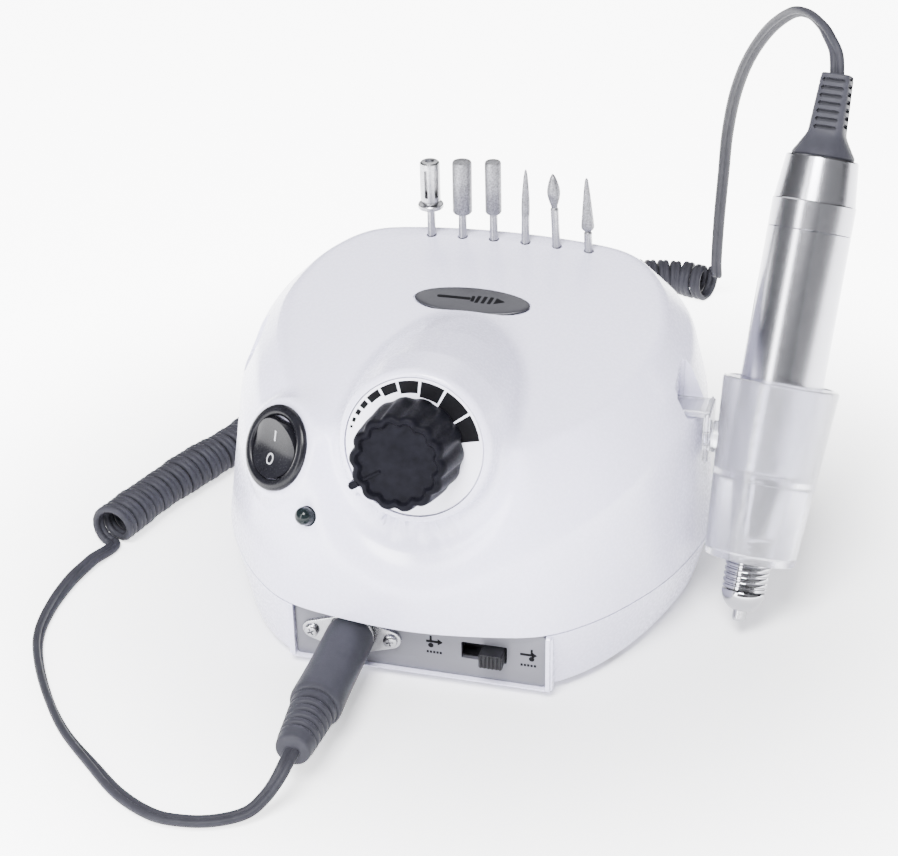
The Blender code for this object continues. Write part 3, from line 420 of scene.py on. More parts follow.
def cord_mesh(name, path, wide, thick):
    """Tube with the twin section swept along a path; wide and thick are its side vectors."""
    section = twin_section()
    count = len(section)
    rings = (path[:, None, :] + wide[:, None, :] * section[None, :, :1]
             + thick[:, None, :] * section[None, :, 1:])
    verts = rings.reshape(-1, 3)
    verts[:, 2] = np.maximum(verts[:, 2], 0.04)       # pressed flat where it touches the table
    faces = []
    for r in range(len(path) - 1):
        for i in range(count):
            j = (i + 1) % count
            faces.append((r * count + i, r * count + j, (r + 1) * count + j, (r + 1) * count + i))
    faces.append(tuple(reversed(range(count))))
    faces.append(tuple((len(path) - 1) * count + i for i in range(count)))
    mesh = bpy.data.meshes.new(name)
    mesh.from_pydata([tuple(at(*v)) for v in verts], [], faces)
    mesh.shade_smooth()
    mesh.materials.append(RUBBER)
    obj = bpy.data.objects.new(name, mesh)
    bpy.context.scene.collection.objects.link(obj)
    return obj


def coil_path():
    """Helix around the coil's route, entering and leaving it smoothly."""
    core = smooth_route(COIL_ROUTE, 0.25)
    ahead, side, up = carried_frames(core, (0, 0, 1))
    step = np.linalg.norm(core[1] - core[0])
    turns = len(core) * step / COIL_PITCH
    phase = 2 * pi * turns * np.linspace(0, 1, len(core)) + pi
    wobble = 1 + 0.035 * np.sin(phase * 0.137) + 0.02 * np.sin(phase * 0.41)
    out = side * np.cos(phase)[:, None] + up * np.sin(phase)[:, None]
    centre = core + out * (COIL_RADIUS * wobble)[:, None]
    centre[:, 2] = np.maximum(centre[:, 2], 1.3)
    return centre, ahead, out


def join_route(a, a_dir, b, b_dir, reach, count):
    """Smooth link between two path ends."""
    t = np.linspace(0, 1, count)[1:-1, None]
    return ((2 * t ** 3 - 3 * t ** 2 + 1) * a + (t ** 3 - 2 * t ** 2 + t) * a_dir * reach
            + (-2 * t ** 3 + 3 * t ** 2) * b + (t ** 3 - t ** 2) * b_dir * reach)


def swept_sides(path, hints):
    """Side vectors square to the path that follow the given hints."""
    ahead = unit_rows(np.gradient(path, axis=0))
    wide = hints - ahead * np.sum(hints * ahead, axis=1)[:, None]
    wide = unit_rows(wide)
    return wide, np.cross(ahead, wide)


def heading(a, b):
    way = b - a
    return way / np.linalg.norm(way)


def make_cords():
    helix, ahead, out = coil_path()
    step = 1
    helix, ahead, out = helix[::step], ahead[::step], out[::step]
    loop = smooth_route(LOOP_ROUTE, 0.9)
    link = join_route(loop[-1], heading(loop[-2], loop[-1]), helix[0],
                      heading(helix[0], helix[1]), 12.0, 14)
    front = np.concatenate([loop, link, helix[:1]])
    flat = np.tile(np.array([[0.0, 0.0, 1.0]]), (len(front), 1))
    ahead_f = unit_rows(np.gradient(front, axis=0))
    flat = np.cross(flat, ahead_f)
    # the twin cord lies flat by the plug and stands on edge along the left side
    share = np.arange(len(front)) / len(loop)
    roll = np.interp(share, [0, 0.32, 0.58, 0.86, 1], [0, 12, 72, 66, 20]) * pi / 180
    flat = unit_rows(flat) * np.cos(roll)[:, None] + np.array([[0, 0, 1.0]]) * np.sin(roll)[:, None]
    blend_in = np.clip((np.arange(len(front)) - len(loop)) / (len(link) + 1), 0, 1)[:, None]
    hints = unit_rows(flat * (1 - blend_in) + ahead[0] * blend_in * np.sign(flat[-1] @ ahead[0]))
    wide, thick = swept_sides(front, hints)
    front_obj = cord_mesh("cord_front_run", front, wide, thick)
    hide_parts("cord_front")
    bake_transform(front_obj)

    riser = smooth_route(RISER_ROUTE, 0.9)[4:]
    link = join_route(helix[-1], heading(helix[-2], helix[-1]), riser[0],
                      heading(riser[0], riser[1]), 16.0, 16)
    back = np.concatenate([helix, link, riser])
    ahead_b = unit_rows(np.gradient(back, axis=0))
    level = np.cross(np.tile([[0.35, 0.93, 0.0]], (len(back), 1)), ahead_b)
    level = unit_rows(np.cross(ahead_b, level))
    share = np.clip((np.arange(len(back)) - len(helix)) / (len(link) + 30), 0, 1)[:, None]
    axis_hint = np.concatenate([ahead, np.repeat(ahead[-1:], len(back) - len(helix), 0)])
    sideways = np.cross(ahead_b, np.tile([[0.0, 0.9, 0.45]], (len(back), 1)))
    sideways = unit_rows(sideways + 1e-9)
    sideways *= np.sign(np.sum(sideways[len(helix) + 10] * axis_hint[-1])) or 1
    hints = unit_rows(axis_hint * (1 - share) + sideways * share)
    wide, thick = swept_sides(back, hints)
    back_obj = cord_mesh("cord_coil_and_riser", back, wide, thick)
    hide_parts("cord_coil", "cord_riser")
    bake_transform(back_obj)


make_cords()


# ---------------------------------------------------------------- casing surface
BOTTOM_Z, SEAM_Z, CREST_Z = 2.2, 20.0, 86.0
SEAM_GAP = 0.35
BOTTOM_RING = ((0, -61.4), (17, -61.4), (32, -60.4), (43.5, -52), (52.5, -39), (59.5, -23),
               (65, -3), (65, 13), (59, 31), (47, 45), (27, 54.5), (0, 57.5))
SEAM_RING = ((0, -67), (18, -65.3), (34.5, -61.3), (46, -52.5), (56, -39.5), (64.5, -23),
             (70, -2), (69, 14), (62.5, 33), (50, 48), (28.5, 57.5), (0, 60.5))
CREASE_RING = ((0, -66.5, 38.5), (17, -64, 39.2), (30.5, -59, 42.5), (41, -51.5, 47),
               (51, -40, 51), (58.5, -24.5, 54.5), (65.5, -2, 56.5), (66, 14, 57),
               (60.5, 32, 57.5), (48.5, 46, 58), (28, 55, 58), (0, 58, 58))
SHOULDER_RING = ((0, -60.8, 54), (14.9, -59, 54), (26.8, -55.2, 56), (36.8, -47.5, 59),
                 (46.8, -36.3, 62), (54.8, -20, 65), (60.8, 0, 67.5), (61.5, 15.5, 70),
                 (57.8, 30, 72.8), (47.2, 42, 76), (27, 49.5, 77.5), (0, 51.5, 78))
TOP_RING = ((0, -54.5), (12.5, -54), (22, -51), (31, -42.7), (41, -31.6), (49, -15),
            (53.6, 3), (52.6, 17), (47.8, 30), (38.5, 40.5), (24, 43.4), (0, 44))
CREASE_SOFTNESS = 0.15
DIAL_R = 18.2
TURRET_PROFILE = ((-5, 18.9), (0, 20.0), (12, 22.6), (30, 24.4), (62, 25.0), (78, 0.0))
SEAT_PROFILE = ((-10, 11.1), (0, 13.6), (22, 19.1), (40, 0.0))      # depth, radius
MOAT_FOOT_R, MOAT_SLOPE, MOAT_DEPTH = 23.5, 1.5, 7.5               # recess around the dial
OUT_FRONT = 30.0                         # how far before the casing its scoops start
PANEL_X, PANEL_WIDTH, PANEL_Y, PANEL_LOW, PANEL_THICK = 1.5, 69.0, -60.3, 3.4, 1.5
RIM_HALF = 36.5
SOCKET_X, SOCKET_Z = -17.0, 12.4
SLIDE_X, SLIDE_Z, SLIDE_TRAVEL = 19.4, 11.8, 5.2
BIT_FIRST_X, BIT_STEP, BIT_Y, BIT_SEAT_Z = -19.6, 9.3, 37.6, 74.0
BADGE_Y, BADGE_HALF = 7.0, (16.7, 5.9)
REAR_Y, REAR_Z = 56.4, 32.0
GLAND = Vector((-21.0, 59.4, 11.6))
LAMP = Vector((-29.2, -59.2, 47.0))
LAMP_AXIS = Vector((-0.36, -0.80, 0.48)).normalized()
SCREW_POSTS = ((-42, -18), (42, -18), (-38, 31), (38, 31))
FOOT_PLACES = ((-46, -36), (46, -36), (-42, 30), (42, 30))
AROUND = 8
VOXEL = 0.8


def closed_ring(half, steps):
    points = [Vector(p) for p in half]
    points += [Vector((-p.x, p.y, p.z)) for p in reversed(points[1:-1])]
    count = len(points)
    ring = []
    for i in range(count):
        a, b, c, d = (points[(i + k) % count] for k in (-1, 0, 1, 2))
        ring += [catmull(a, b, c, d, s / steps) for s in range(steps)]
    return ring


def roof_height(x, y):
    climb = min(max((y + 55.0) / 93.0, 0.0), 1.0)
    return 67.2 + (CREST_Z - 67.2) * (climb * 1.12 - 0.12 * climb ** 4) - 0.0012 * x * x


def casing_columns():
    """Rows of rings from the floor to the roof, with rounded crease, shoulder and roof edge."""
    def level(ring, z):
        return tuple((x, y, z) for x, y in ring)
    roof = tuple((x, y, roof_height(x, y)) for x, y in TOP_RING)
    low, seam, crease, shoulder, rim = (closed_ring(r, AROUND) for r in (
        level(BOTTOM_RING, BOTTOM_Z), level(SEAM_RING, SEAM_Z), CREASE_RING, SHOULDER_RING, roof))
    soft = CREASE_SOFTNESS
    columns = []
    for a, b, c, d, e in zip(low, seam, crease, shoulder, rim):
        first = a.lerp(b, 0.16)
        column = [a * 0.985 + Vector((0, -2, 0)) * 0.015 + Vector((0, 0, 0.03)),
                  a + (b - a) * 0.05]
        column += [first.lerp(b, k / 6) for k in range(7)]

        def rounded(p, q, r, before, after, count):
            start, end = p.lerp(q, 1 - before), q.lerp(r, after)
            return [start * (1 - t) ** 2 + q * 2 * t * (1 - t) + end * t * t
                    for t in (k / count for k in range(count + 1))]
        bend = rounded(b, c, d, soft, soft, 8)
        column += [b.lerp(bend[0], k / 8) for k in range(1, 8)] + bend
        bend2 = rounded(c, d, e, soft, soft, 8)
        column += [bend[-1].lerp(bend2[0], k / 6) for k in range(1, 6)] + bend2
        inner = Vector((e.x * 0.95, -2 + (e.y + 2) * 0.95, 0))
        inner.z = roof_height(inner.x, inner.y)
        start = d.lerp(e, 0.86)
        column += [bend2[-1].lerp(start, k / 5) for k in range(1, 5)]
        column += [start * (1 - t) ** 2 + e * 2 * t * (1 - t) + inner * t * t
                   for t in (k / 8 for k in range(9))]
        for share in (0.86, 0.78, 0.7, 0.6, 0.5, 0.4, 0.3, 0.2, 0.1):
            x, y = e.x * share, -2 + (e.y + 2) * share
            column.append(Vector((x, y, roof_height(x, y))))
        columns.append(column)
    return columns


def casing_bmesh():
    columns = casing_columns()
    bm = bmesh.new()
    grid = [[bm.verts.new(p) for p in column] for column in columns]
    count = len(grid)
    for i in range(count):
        j = (i + 1) % count
        for k in range(len(grid[0]) - 1):
            bm.faces.new((grid[i][k], grid[j][k], grid[j][k + 1], grid[i][k + 1]))
    bm.faces.new([grid[i][0] for i in reversed(range(count))])
    top = bm.verts.new((0, -2, roof_height(0, -2)))
    for i in range(count):
        bm.faces.new((grid[i][-1], grid[(i + 1) % count][-1], top))
    return bm


def bvh_of(bm):
    bmesh.ops.recalc_face_normals(bm, faces=bm.faces)
    flat = bm.copy()
    bmesh.ops.triangulate(flat, faces=flat.faces[:])
    tree = BVHTree.FromBMesh(flat)
    flat.free()
    return tree


def drum_distance(points, centre, axis, radius_at, slope, top, edge):
    """Signed distance and gradient of a rounded drum along an axis, flat at s = top."""
    rel = points - np.array(centre)
    s = rel @ np.array(axis)
    across = rel - s[:, None] * np.array(axis)
    r = np.linalg.norm(across, axis=1) + 1e-9
    out = across / r[:, None]
    tilt = np.cos(np.arctan(slope))
    side = (r - radius_at(s)) * tilt + edge
    cap = s - top + edge
    outside = np.stack([np.maximum(side, 0), np.maximum(cap, 0)], 1)
    far = np.linalg.norm(outside, axis=1)
    inside = np.minimum(np.maximum(side, cap), 0)
    distance = far + inside - edge
    side_dir = out * tilt + np.array(axis) * np.sin(np.arctan(slope))
    cap_dir = np.tile(np.array(axis), (len(points), 1))
    share = np.where(far > 1e-9, outside[:, 0] / (far + 1e-12), (side > cap) * 1.0)
    share_cap = np.where(far > 1e-9, outside[:, 1] / (far + 1e-12), (side <= cap) * 1.0)
    gradient = side_dir * share[:, None] + cap_dir * share_cap[:, None]
    return distance, gradient


def soft_union(a, grad_a, b, grad_b, reach):
    near = np.maximum(reach - np.abs(a - b), 0) / reach
    low = np.minimum(a, b) - near * near * reach / 4
    share = np.where(a < b, 1 - near / 2, near / 2)[:, None]
    return low, grad_a * share + grad_b * (1 - share)


def settle_on_surface(points, tree):
    """Move points onto the casing softly joined to the knob turret and the switch seat."""
    def turret_radius(s):
        return np.interp(-s, *zip(*TURRET_PROFILE))

    def seat_radius(s):
        return np.interp(-s, *zip(*SEAT_PROFILE))

    def moat_radius(s):
        return MOAT_FOOT_R + MOAT_SLOPE * (OUT_FRONT + MOAT_DEPTH - s)
    for _ in range(3):
        near = [tree.find_nearest(p) for p in points]
        place = np.array([tuple(n[0]) for n in near])
        normal = np.array([tuple(n[1]) for n in near])
        gap = points - place
        length = np.linalg.norm(gap, axis=1)
        sign = np.where(np.sum(gap * normal, axis=1) >= 0, 1.0, -1.0)
        body = length * sign
        body_dir = np.where(length[:, None] > 0.02, gap / (length[:, None] + 1e-12) * sign[:, None],
                            normal)
        turret, turret_dir = drum_distance(points, DIAL, DIAL_AXIS, turret_radius, 0.2, 0.0, 1.7)
        seat, seat_dir = drum_distance(points, ROCKER, ROCKER_AXIS, seat_radius, 0.25, 0.0, 1.0)
        scoop, scoop_dir = drum_distance(points, ROCKER + ROCKER_AXIS * OUT_FRONT, -ROCKER_AXIS,
                                         lambda s: 15.0 - 0.7 * s, 0.7, OUT_FRONT, 1.0)
        moat, moat_dir = drum_distance(points, DIAL + DIAL_AXIS * OUT_FRONT, -DIAL_AXIS,
                                       moat_radius, MOAT_SLOPE, OUT_FRONT + MOAT_DEPTH, 1.5)
        dug, dug_dir = soft_union(-body, -body_dir, moat, moat_dir, 5.0)
        total, direction = soft_union(-dug, -dug_dir, turret, turret_dir, 3.0)
        total, direction = soft_union(total, direction, seat, seat_dir, 3.0)
        dug, dug_dir = soft_union(-total, -direction, scoop, scoop_dir, 5.0)
        total, direction = -dug, -dug_dir
        scale = np.maximum(np.linalg.norm(direction, axis=1), 0.5)[:, None]
        points = points - direction / scale * np.clip(total, -3, 3)[:, None]
    return points


def wedge_under(z, high):
    return cutter(block((400, 400, high), (0, 0, z - high / 2)))


def casing_cutters():
    """Everything sunk into the casing from outside."""
    cuts = [cutter(rod(DIAL_R + 0.25, -1.5, 6, 96), DIAL, DIAL_AXIS),
            cutter(rod(3.9, -16, 0, 32), DIAL, DIAL_AXIS),
            cutter(rod(9.9, -15, 0.01, 64), ROCKER, ROCKER_AXIS),
            cutter(rod(2.75, -9, 4, 40), LAMP, LAMP_AXIS)]
    for i in range(6):
        cuts.append(cutter(rod(1.55, 71, 95, 24), (BIT_FIRST_X + i * BIT_STEP, BIT_Y, 0)))
    for side in (-1, 1):
        cuts.append(cutter(block((14, 13, 18), (side * 66.2, 0, 66.2), 1.0)))
        cuts.append(cutter(block((16, 9.2, 2.8), (side * 61, 0, 59.1))))
    cuts.append(cutter(block((59, 12, 15.4), (0, REAR_Y + 6, REAR_Z), 1.2)))
    cuts.append(cutter(rod(5.7, -18, 3, 48), (FUSE.x, REAR_Y, REAR_Z), (0, 1, 0)))
    cuts.append(cutter(rod(3.9, -15, 3, 40), (1, REAR_Y, REAR_Z), (0, 1, 0)))
    cuts.append(cutter(block((12.4, 20, 5.2), (20, REAR_Y, REAR_Z), 0.3)))
    return cuts


def badge_axis():
    rise = roof_height(0, BADGE_Y + 1) - roof_height(0, BADGE_Y - 1)
    return Vector((0, -rise / 2, 1)).normalized()


def oval(half_x, half_y, profile, sides=96):
    """Turned profile stretched to an oval; profile radii run from 0 to 1."""
    bm = turned(profile, sides)
    bmesh.ops.scale(bm, vec=(half_x, half_y, 1), verts=bm.verts)
    return bm


def lay_on_roof(obj):
    """Tip an object laid flat at the badge's place to the slope of the roof."""
    axis = badge_axis()
    place = Vector((0, BADGE_Y, roof_height(0, BADGE_Y)))
    turn = Matrix.Rotation(np.arctan2(-axis.y, axis.z), 4, "X")
    obj.matrix_world = Matrix.Translation(at(*place)) @ turn
    return obj


def even_out_moat(mesh, points):
    """Smooth the faces that were stretched into the recess around the dial."""
    rel = points - np.array(DIAL)
    along = rel @ np.array(DIAL_AXIS)
    around = np.linalg.norm(rel - along[:, None] * np.array(DIAL_AXIS), axis=1)
    near_dial = (around > 21.0) & (around < 40) & (along > -16) & (rel[:, 2] < 5)
    even = bmesh.new()
    even.from_mesh(mesh)
    even.verts.ensure_lookup_table()
    ring = [even.verts[i] for i in np.nonzero(near_dial)[0]]
    for _ in range(8):
        bmesh.ops.smooth_vert(even, verts=ring, factor=0.5, use_axis_x=True, use_axis_y=True,
                              use_axis_z=True)
    even.to_mesh(mesh)
    even.free()


def make_upper_casing():
    source = casing_bmesh()
    tree = bvh_of(source)
    shell = raw_object("white_upper_casing", source, CASING)
    turret = cutter(turned(((0, -50), (24.5, -50), (24.4, -30), (22.6, -12), (20.0, 0), (0, 0)), 64),
                    DIAL, DIAL_AXIS)
    seat = cutter(rod(15.8, -9, 0, 48, 13.6), ROCKER, ROCKER_AXIS)
    shell = cut(shell, [turret, seat], "UNION")
    grid = shell.modifiers.new("grid", "REMESH")
    grid.mode = "VOXEL"
    grid.voxel_size = VOXEL * MM
    bpy.context.view_layer.update()
    mesh = bpy.data.meshes.new_from_object(
        shell.evaluated_get(bpy.context.evaluated_depsgraph_get()))
    shell.modifiers.remove(grid)
    shell.data = mesh
    count = len(mesh.vertices)
    co = np.empty(count * 3)
    mesh.vertices.foreach_get("co", co)
    points = co.reshape(-1, 3) / MM
    points = settle_on_surface(points, tree)
    mesh.vertices.foreach_set("co", (points * MM).ravel())
    even_out_moat(mesh, points)
    mesh.materials.clear()
    mesh.materials.append(CASING)
    mesh.update()
    pocket = lay_on_roof(cutter(oval(BADGE_HALF[0] + 0.25, BADGE_HALF[1] + 0.25,
                                     ((0, -0.7), (1, -0.7), (1, 5), (0, 5)))))
    hollow = cutter(block((92, 74, 50), (0, 0, 32), 6))
    shell = cut(shell, [wedge_under(SEAM_Z + SEAM_GAP / 2, 40), pocket, hollow]
                + casing_cutters())
    return dress(shell, "unit", ["upper_casing"])


def make_lower_casing():
    shell = raw_object("white_lower_casing", casing_bmesh(), CASING)
    seam = SEAM_Z - SEAM_GAP / 2
    rim = cutter(block((2 * RIM_HALF, 30, seam - BOTTOM_Z), (PANEL_X, -46.5,
                                                           (seam + BOTTOM_Z) / 2), 0.7))
    pad = cutter(rod(7.2, -7.5, 0, 48), GLAND, (0, 1, 0))
    shell = cut(shell, [rim, pad], "UNION")
    cuts = [cutter(block((400, 400, 200), (0, 0, seam + 100))),
            cutter(block((200, 30, 60), (0, -76.5, 10))),
            cutter(block((PANEL_WIDTH + 0.5, 20, 30), (PANEL_X, -58.5, PANEL_LOW - 0.25 + 15))),
            cutter(block((98, 84, 30), (0, 4, 20.2), 4)),
            cutter(rod(4.6, -12, 8, 40), GLAND, (0, 1, 0)),
            cutter(rod(6.4, -1, 16, 40), (SOCKET_X, -60, SOCKET_Z), (0, 1, 0)),
            cutter(block((22, 14, 10), (SLIDE_X, -52, SLIDE_Z)))]
    for x, y in SCREW_POSTS:
        cuts.append(cutter(rod(3.4, 0, 6.2, 32), (x, y, 0)))
    for x, y in FOOT_PLACES:
        cuts.append(cutter(rod(5.3, 0, 3.4, 40), (x, y, 0)))
    shell = cut(shell, cuts)
    return dress(shell, "unit", ["lower_casing"])


make_upper_casing()
make_lower_casing()


# ---------------------------------------------------------------- flat shapes
def prism(outline, low, high):
    """Solid standing on a closed outline of (x, y) points, from z = low to z = high."""
    bm = bmesh.new()
    return skinned(bm, [[bm.verts.new((x, y, z)) for x, y in outline] for z in (low, high)])


def domed(outline, low, high, edge=0.3, steps=3, centre=(0, 0)):
    """Prism with a rounded upper edge."""
    bm = bmesh.new()
    cx, cy = centre
    reach = max(((x - cx) ** 2 + (y - cy) ** 2) ** 0.5 for x, y in outline)
    levels = [(low, 0.0), (high - edge, 0.0)]
    levels += [(high - edge + edge * sin(pi / 2 * k / steps), edge * (1 - cos(pi / 2 * k / steps)))
               for k in range(1, steps + 1)]
    rings = []
    for z, inset in levels:
        share = 1 - inset / reach
        rings.append([bm.verts.new((cx + (x - cx) * share, cy + (y - cy) * share, z))
                      for x, y in outline])
    return skinned(bm, rings)


def rounded_rectangle(width, height, corner, centre=(0, 0), steps=6):
    points = []
    for sx, sy, start in ((1, 1, 0), (-1, 1, 90), (-1, -1, 180), (1, -1, 270)):
        for k in range(steps + 1):
            angle = radians(start + 90 * k / steps)
            points.append((centre[0] + sx * (width / 2 - corner) + corner * cos(angle),
                           centre[1] + sy * (height / 2 - corner) + corner * sin(angle)))
    return points


def hull_outline(circles, steps=48):
    """Outline of the tight band around circles given as (x, y, radius)."""
    points = []
    for k in range(steps * 3):
        angle = 2 * pi * k / (steps * 3)
        c, s = cos(angle), sin(angle)
        x, y, r = max(circles, key=lambda o: o[0] * c + o[1] * s + o[2])
        points.append((x + r * c, y + r * s))
    return points


def sector(inner, outer, start, end, steps=8):
    angles = [radians(start + (end - start) * k / steps) for k in range(steps + 1)]
    return ([(outer * cos(a), outer * sin(a)) for a in angles]
            + [(inner * cos(a), inner * sin(a)) for a in reversed(angles)])


def print_on(name, outlines, look, body, place, axis, height, extra=None):
    """Thin printed marks: outlines raised a hair above a face at the given height."""
    bm = merge([prism(o, height - 0.25, height + 0.035) for o in outlines])
    obj = raw_object(name, bm, look, Vector(place), axis)
    if extra is not None:
        obj.matrix_world = obj.matrix_world @ extra
    return dress(obj, body)


FRONT, BACK = Vector((0, -1, 0)), Vector((0, 1, 0))


# ---------------------------------------------------------------- front panel
def make_panel():
    low, high = PANEL_LOW, SEAM_Z - 0.45
    middle = (low + high) / 2
    outline = rounded_rectangle(PANEL_WIDTH, high - low, 1.0)
    face = Vector((PANEL_X, PANEL_Y, middle))
    panel = raw_object("silver_panel", domed(outline, -PANEL_THICK, 0, 0.18), PANEL, face, FRONT)
    socket = Vector((SOCKET_X, PANEL_Y, SOCKET_Z))
    window = Vector((SLIDE_X, PANEL_Y, SLIDE_Z))
    cut(panel, [cutter(rod(6.6, -5, 5, 48), socket, FRONT),
                cutter(prism(rounded_rectangle(12.4, 5.2, 0.35), -5, 5), window, FRONT),
                cutter(rod(1.2, -5, 5, 20), socket + Vector((-11, 0, 0)), FRONT),
                cutter(rod(1.2, -5, 5, 20), socket + Vector((11, 0, 0)), FRONT)])
    dress(panel, "unit", ["front_panel"], 0.12)

    # turning-direction marks: an arrow with a bar and a dot, over a row of plain squares
    for number, x, turn in ((1, 5.7, 1), (2, 31.4, -1)):
        spot = Vector((x, PANEL_Y, SLIDE_Z + 1.0))
        dot = [(-0.9 * turn + 0.75 * cos(2 * pi * k / 20), -0.95 + 0.75 * sin(2 * pi * k / 20))
               for k in range(20)]
        arrow = [rounded_rectangle(3.4, 0.75, 0.1, (-0.5, 0.3), 2),
                 [(1.0, -0.75), (2.4, 0.3), (1.0, 1.35)],
                 rounded_rectangle(0.6, 1.6, 0.1, (-0.9 * turn, 1.35), 2), dot]
        print_on(f"direction_mark_{number}", arrow, INK, "unit", spot, FRONT, 0)
        bars = [rounded_rectangle(0.62, 0.75, 0.12, (-1.8 + 0.9 * k, -3.1), 2) for k in range(5)]
        print_on(f"direction_bar_{number}", bars, INK, "unit", spot, FRONT, 0)


def make_socket():
    face = Vector((SOCKET_X, PANEL_Y - 0.02, SOCKET_Z))
    outline = hull_outline(((-11, 0, 2.75), (11, 0, 2.75), (0, 0, 6.2)))
    flange = raw_object("steel_socket_flange", domed(outline, 0, 1.15, 0.3), STEEL, face, FRONT)
    ring = cutter(turned(((0, -12), (6.25, -12), (6.25, 1.5), (5.9, 1.8), (0, 1.8)), 64),
                  face, FRONT)
    cut(flange, [ring], "UNION")
    cut(flange, [cutter(rod(5.05, -9.5, 4, 48), face, FRONT),
                 cutter(rod(1.2, -3, 3, 20), face + Vector((-11, 0, 0)), FRONT),
                 cutter(rod(1.2, -3, 3, 20), face + Vector((11, 0, 0)), FRONT)])
    dress(flange, "unit", ["din_socket"])
    for name, side, turn in (("left", -1, 0.5), ("right", 1, 0.2)):
        screw = raw_object(f"flange_screw_{name}", screw_head(1.95, 1.3, 0.85, 6), STEEL,
                           face + Vector((side * 11, -1.17, 0)), FRONT)
        cross_recess(screw, face + Vector((side * 11, -1.17, 0)), FRONT, 1.3, 1.95, turn)
        dress(screw, "unit", [f"socket_screw_{name}"])


def screw_head(radius, height, shank, length):
    dome = [(radius, 0), (radius, height * 0.45)]
    dome += [(radius * cos(pi / 2 * k / 6) ** 0.7, height * (0.45 + 0.55 * sin(pi / 2 * k / 6)))
             for k in range(1, 6)]
    return turned([(0, -length), (shank, -length), (shank, 0)] + dome + [(0, height)], 40)


def cross_recess(screw, place, axis, height, radius, turn):
    arms = []
    for k in range(2):
        arm = block((radius * 1.15, radius * 0.24, 2), (0, 0, height + 0.2))
        arms.append(cutter(moved(arm, Matrix.Rotation(turn + k * pi / 2, 4, "Z")), place, axis))
    cut(screw, arms)


def make_slide_switch(names, x, y, z, facing, rest, nodes, bodies):
    """Switch body with a slot, and its ribbed slider, seen through a window in the wall."""
    axis = Vector((0, facing, 0))
    face = Vector((x, y, z))
    body = raw_object(names[0], block((21, 9.4, 8), (0, 0, -4.3), 0.3), BLACK, face, axis)
    cut(body, [cutter(block((13.2, 5.6, 7), (0, 0, 0)), face, axis)])
    dress(body, "unit", [nodes[0]])
    place = face + Vector((rest, 0, 0))
    slider = raw_object(names[1], block((6.4, 4.2, 8.6), (0, 0, 1.9), 0.3), BLACK, place, axis)
    cut(slider, [cutter(block((0.55, 6, 1.1), (-2.15 + 1.075 * k, 0, 6.3)), place, axis)
                 for k in range(5)])
    dress(slider, bodies, [nodes[1]], 0.1)


make_panel()
make_socket()
make_slide_switch(("slide_switch", "slide_button"), SLIDE_X, PANEL_Y + PANEL_THICK + 0.3, SLIDE_Z,
                  -1, SLIDE_TRAVEL / 2, ("direction_switch_body", "direction_slider"),
                  "direction_slider")


# ---------------------------------------------------------------- plug
def make_plug():
    place = Vector((SOCKET_X, PANEL_Y - 1.5, SOCKET_Z))
    body = raw_object("grey_plug", turned(
        ((0, 5), (5, 5), (5, 0), (6.1, 0), (6.4, 0.3), (6.55, 0.9), (6.6, 1.6), (6.6, 12),
         (6.65, 18), (6.8, 24), (6.95, 28), (7.02, 30.2), (6.95, 31.0), (6.6, 31.7), (6.0, 32),
         (0, 32)), 80), PLUG_GREY, place, FRONT)
    dress(body, "plug", ["plug_body"])
    pins = [turned(((0, 1.0), (4.2, 1.0), (4.2, -7.3), (4.35, -7.6), (4.55, -7.6), (4.7, -7.3),
                    (4.7, 4.7), (0, 4.7)), 56)]
    for k in range(4):
        angle = radians(45 + 90 * k)
        pin = turned(((0, -6.4), (0.35, -6.4), (0.5, -6.0), (0.5, 1.4), (0, 1.4)), 16)
        bmesh.ops.translate(pin, vec=(2.3 * cos(angle), 2.3 * sin(angle), 0), verts=pin.verts)
        pins.append(pin)
    piece("plug_pins", merge(pins), STEEL, "plug", place, FRONT, ["plug_shell"])
    relief = [(0, 31.8), (5.9, 31.8), (6.1, 32.2), (6.1, 34.0), (5.95, 34.4)]
    for k in range(5):
        low = 34.6 + 2.55 * k
        edge = 5.9 - 0.22 * k
        relief += [(edge - 0.85, low), (edge - 0.85, low + 0.45), (edge - 0.2, low + 0.7),
                   (edge, low + 1.0), (edge - 0.03, low + 2.0), (edge - 0.2, low + 2.3)]
    relief += [(4.75, 47.5), (4.65, 49.0), (4.45, 49.7), (4.0, 50.0), (0, 50.0)]
    piece("plug_ribbed_sleeve", turned(relief, 56), PLUG_GREY, "plug", place,
          FRONT, ["plug_strain_relief"], smooth=50)


make_plug()


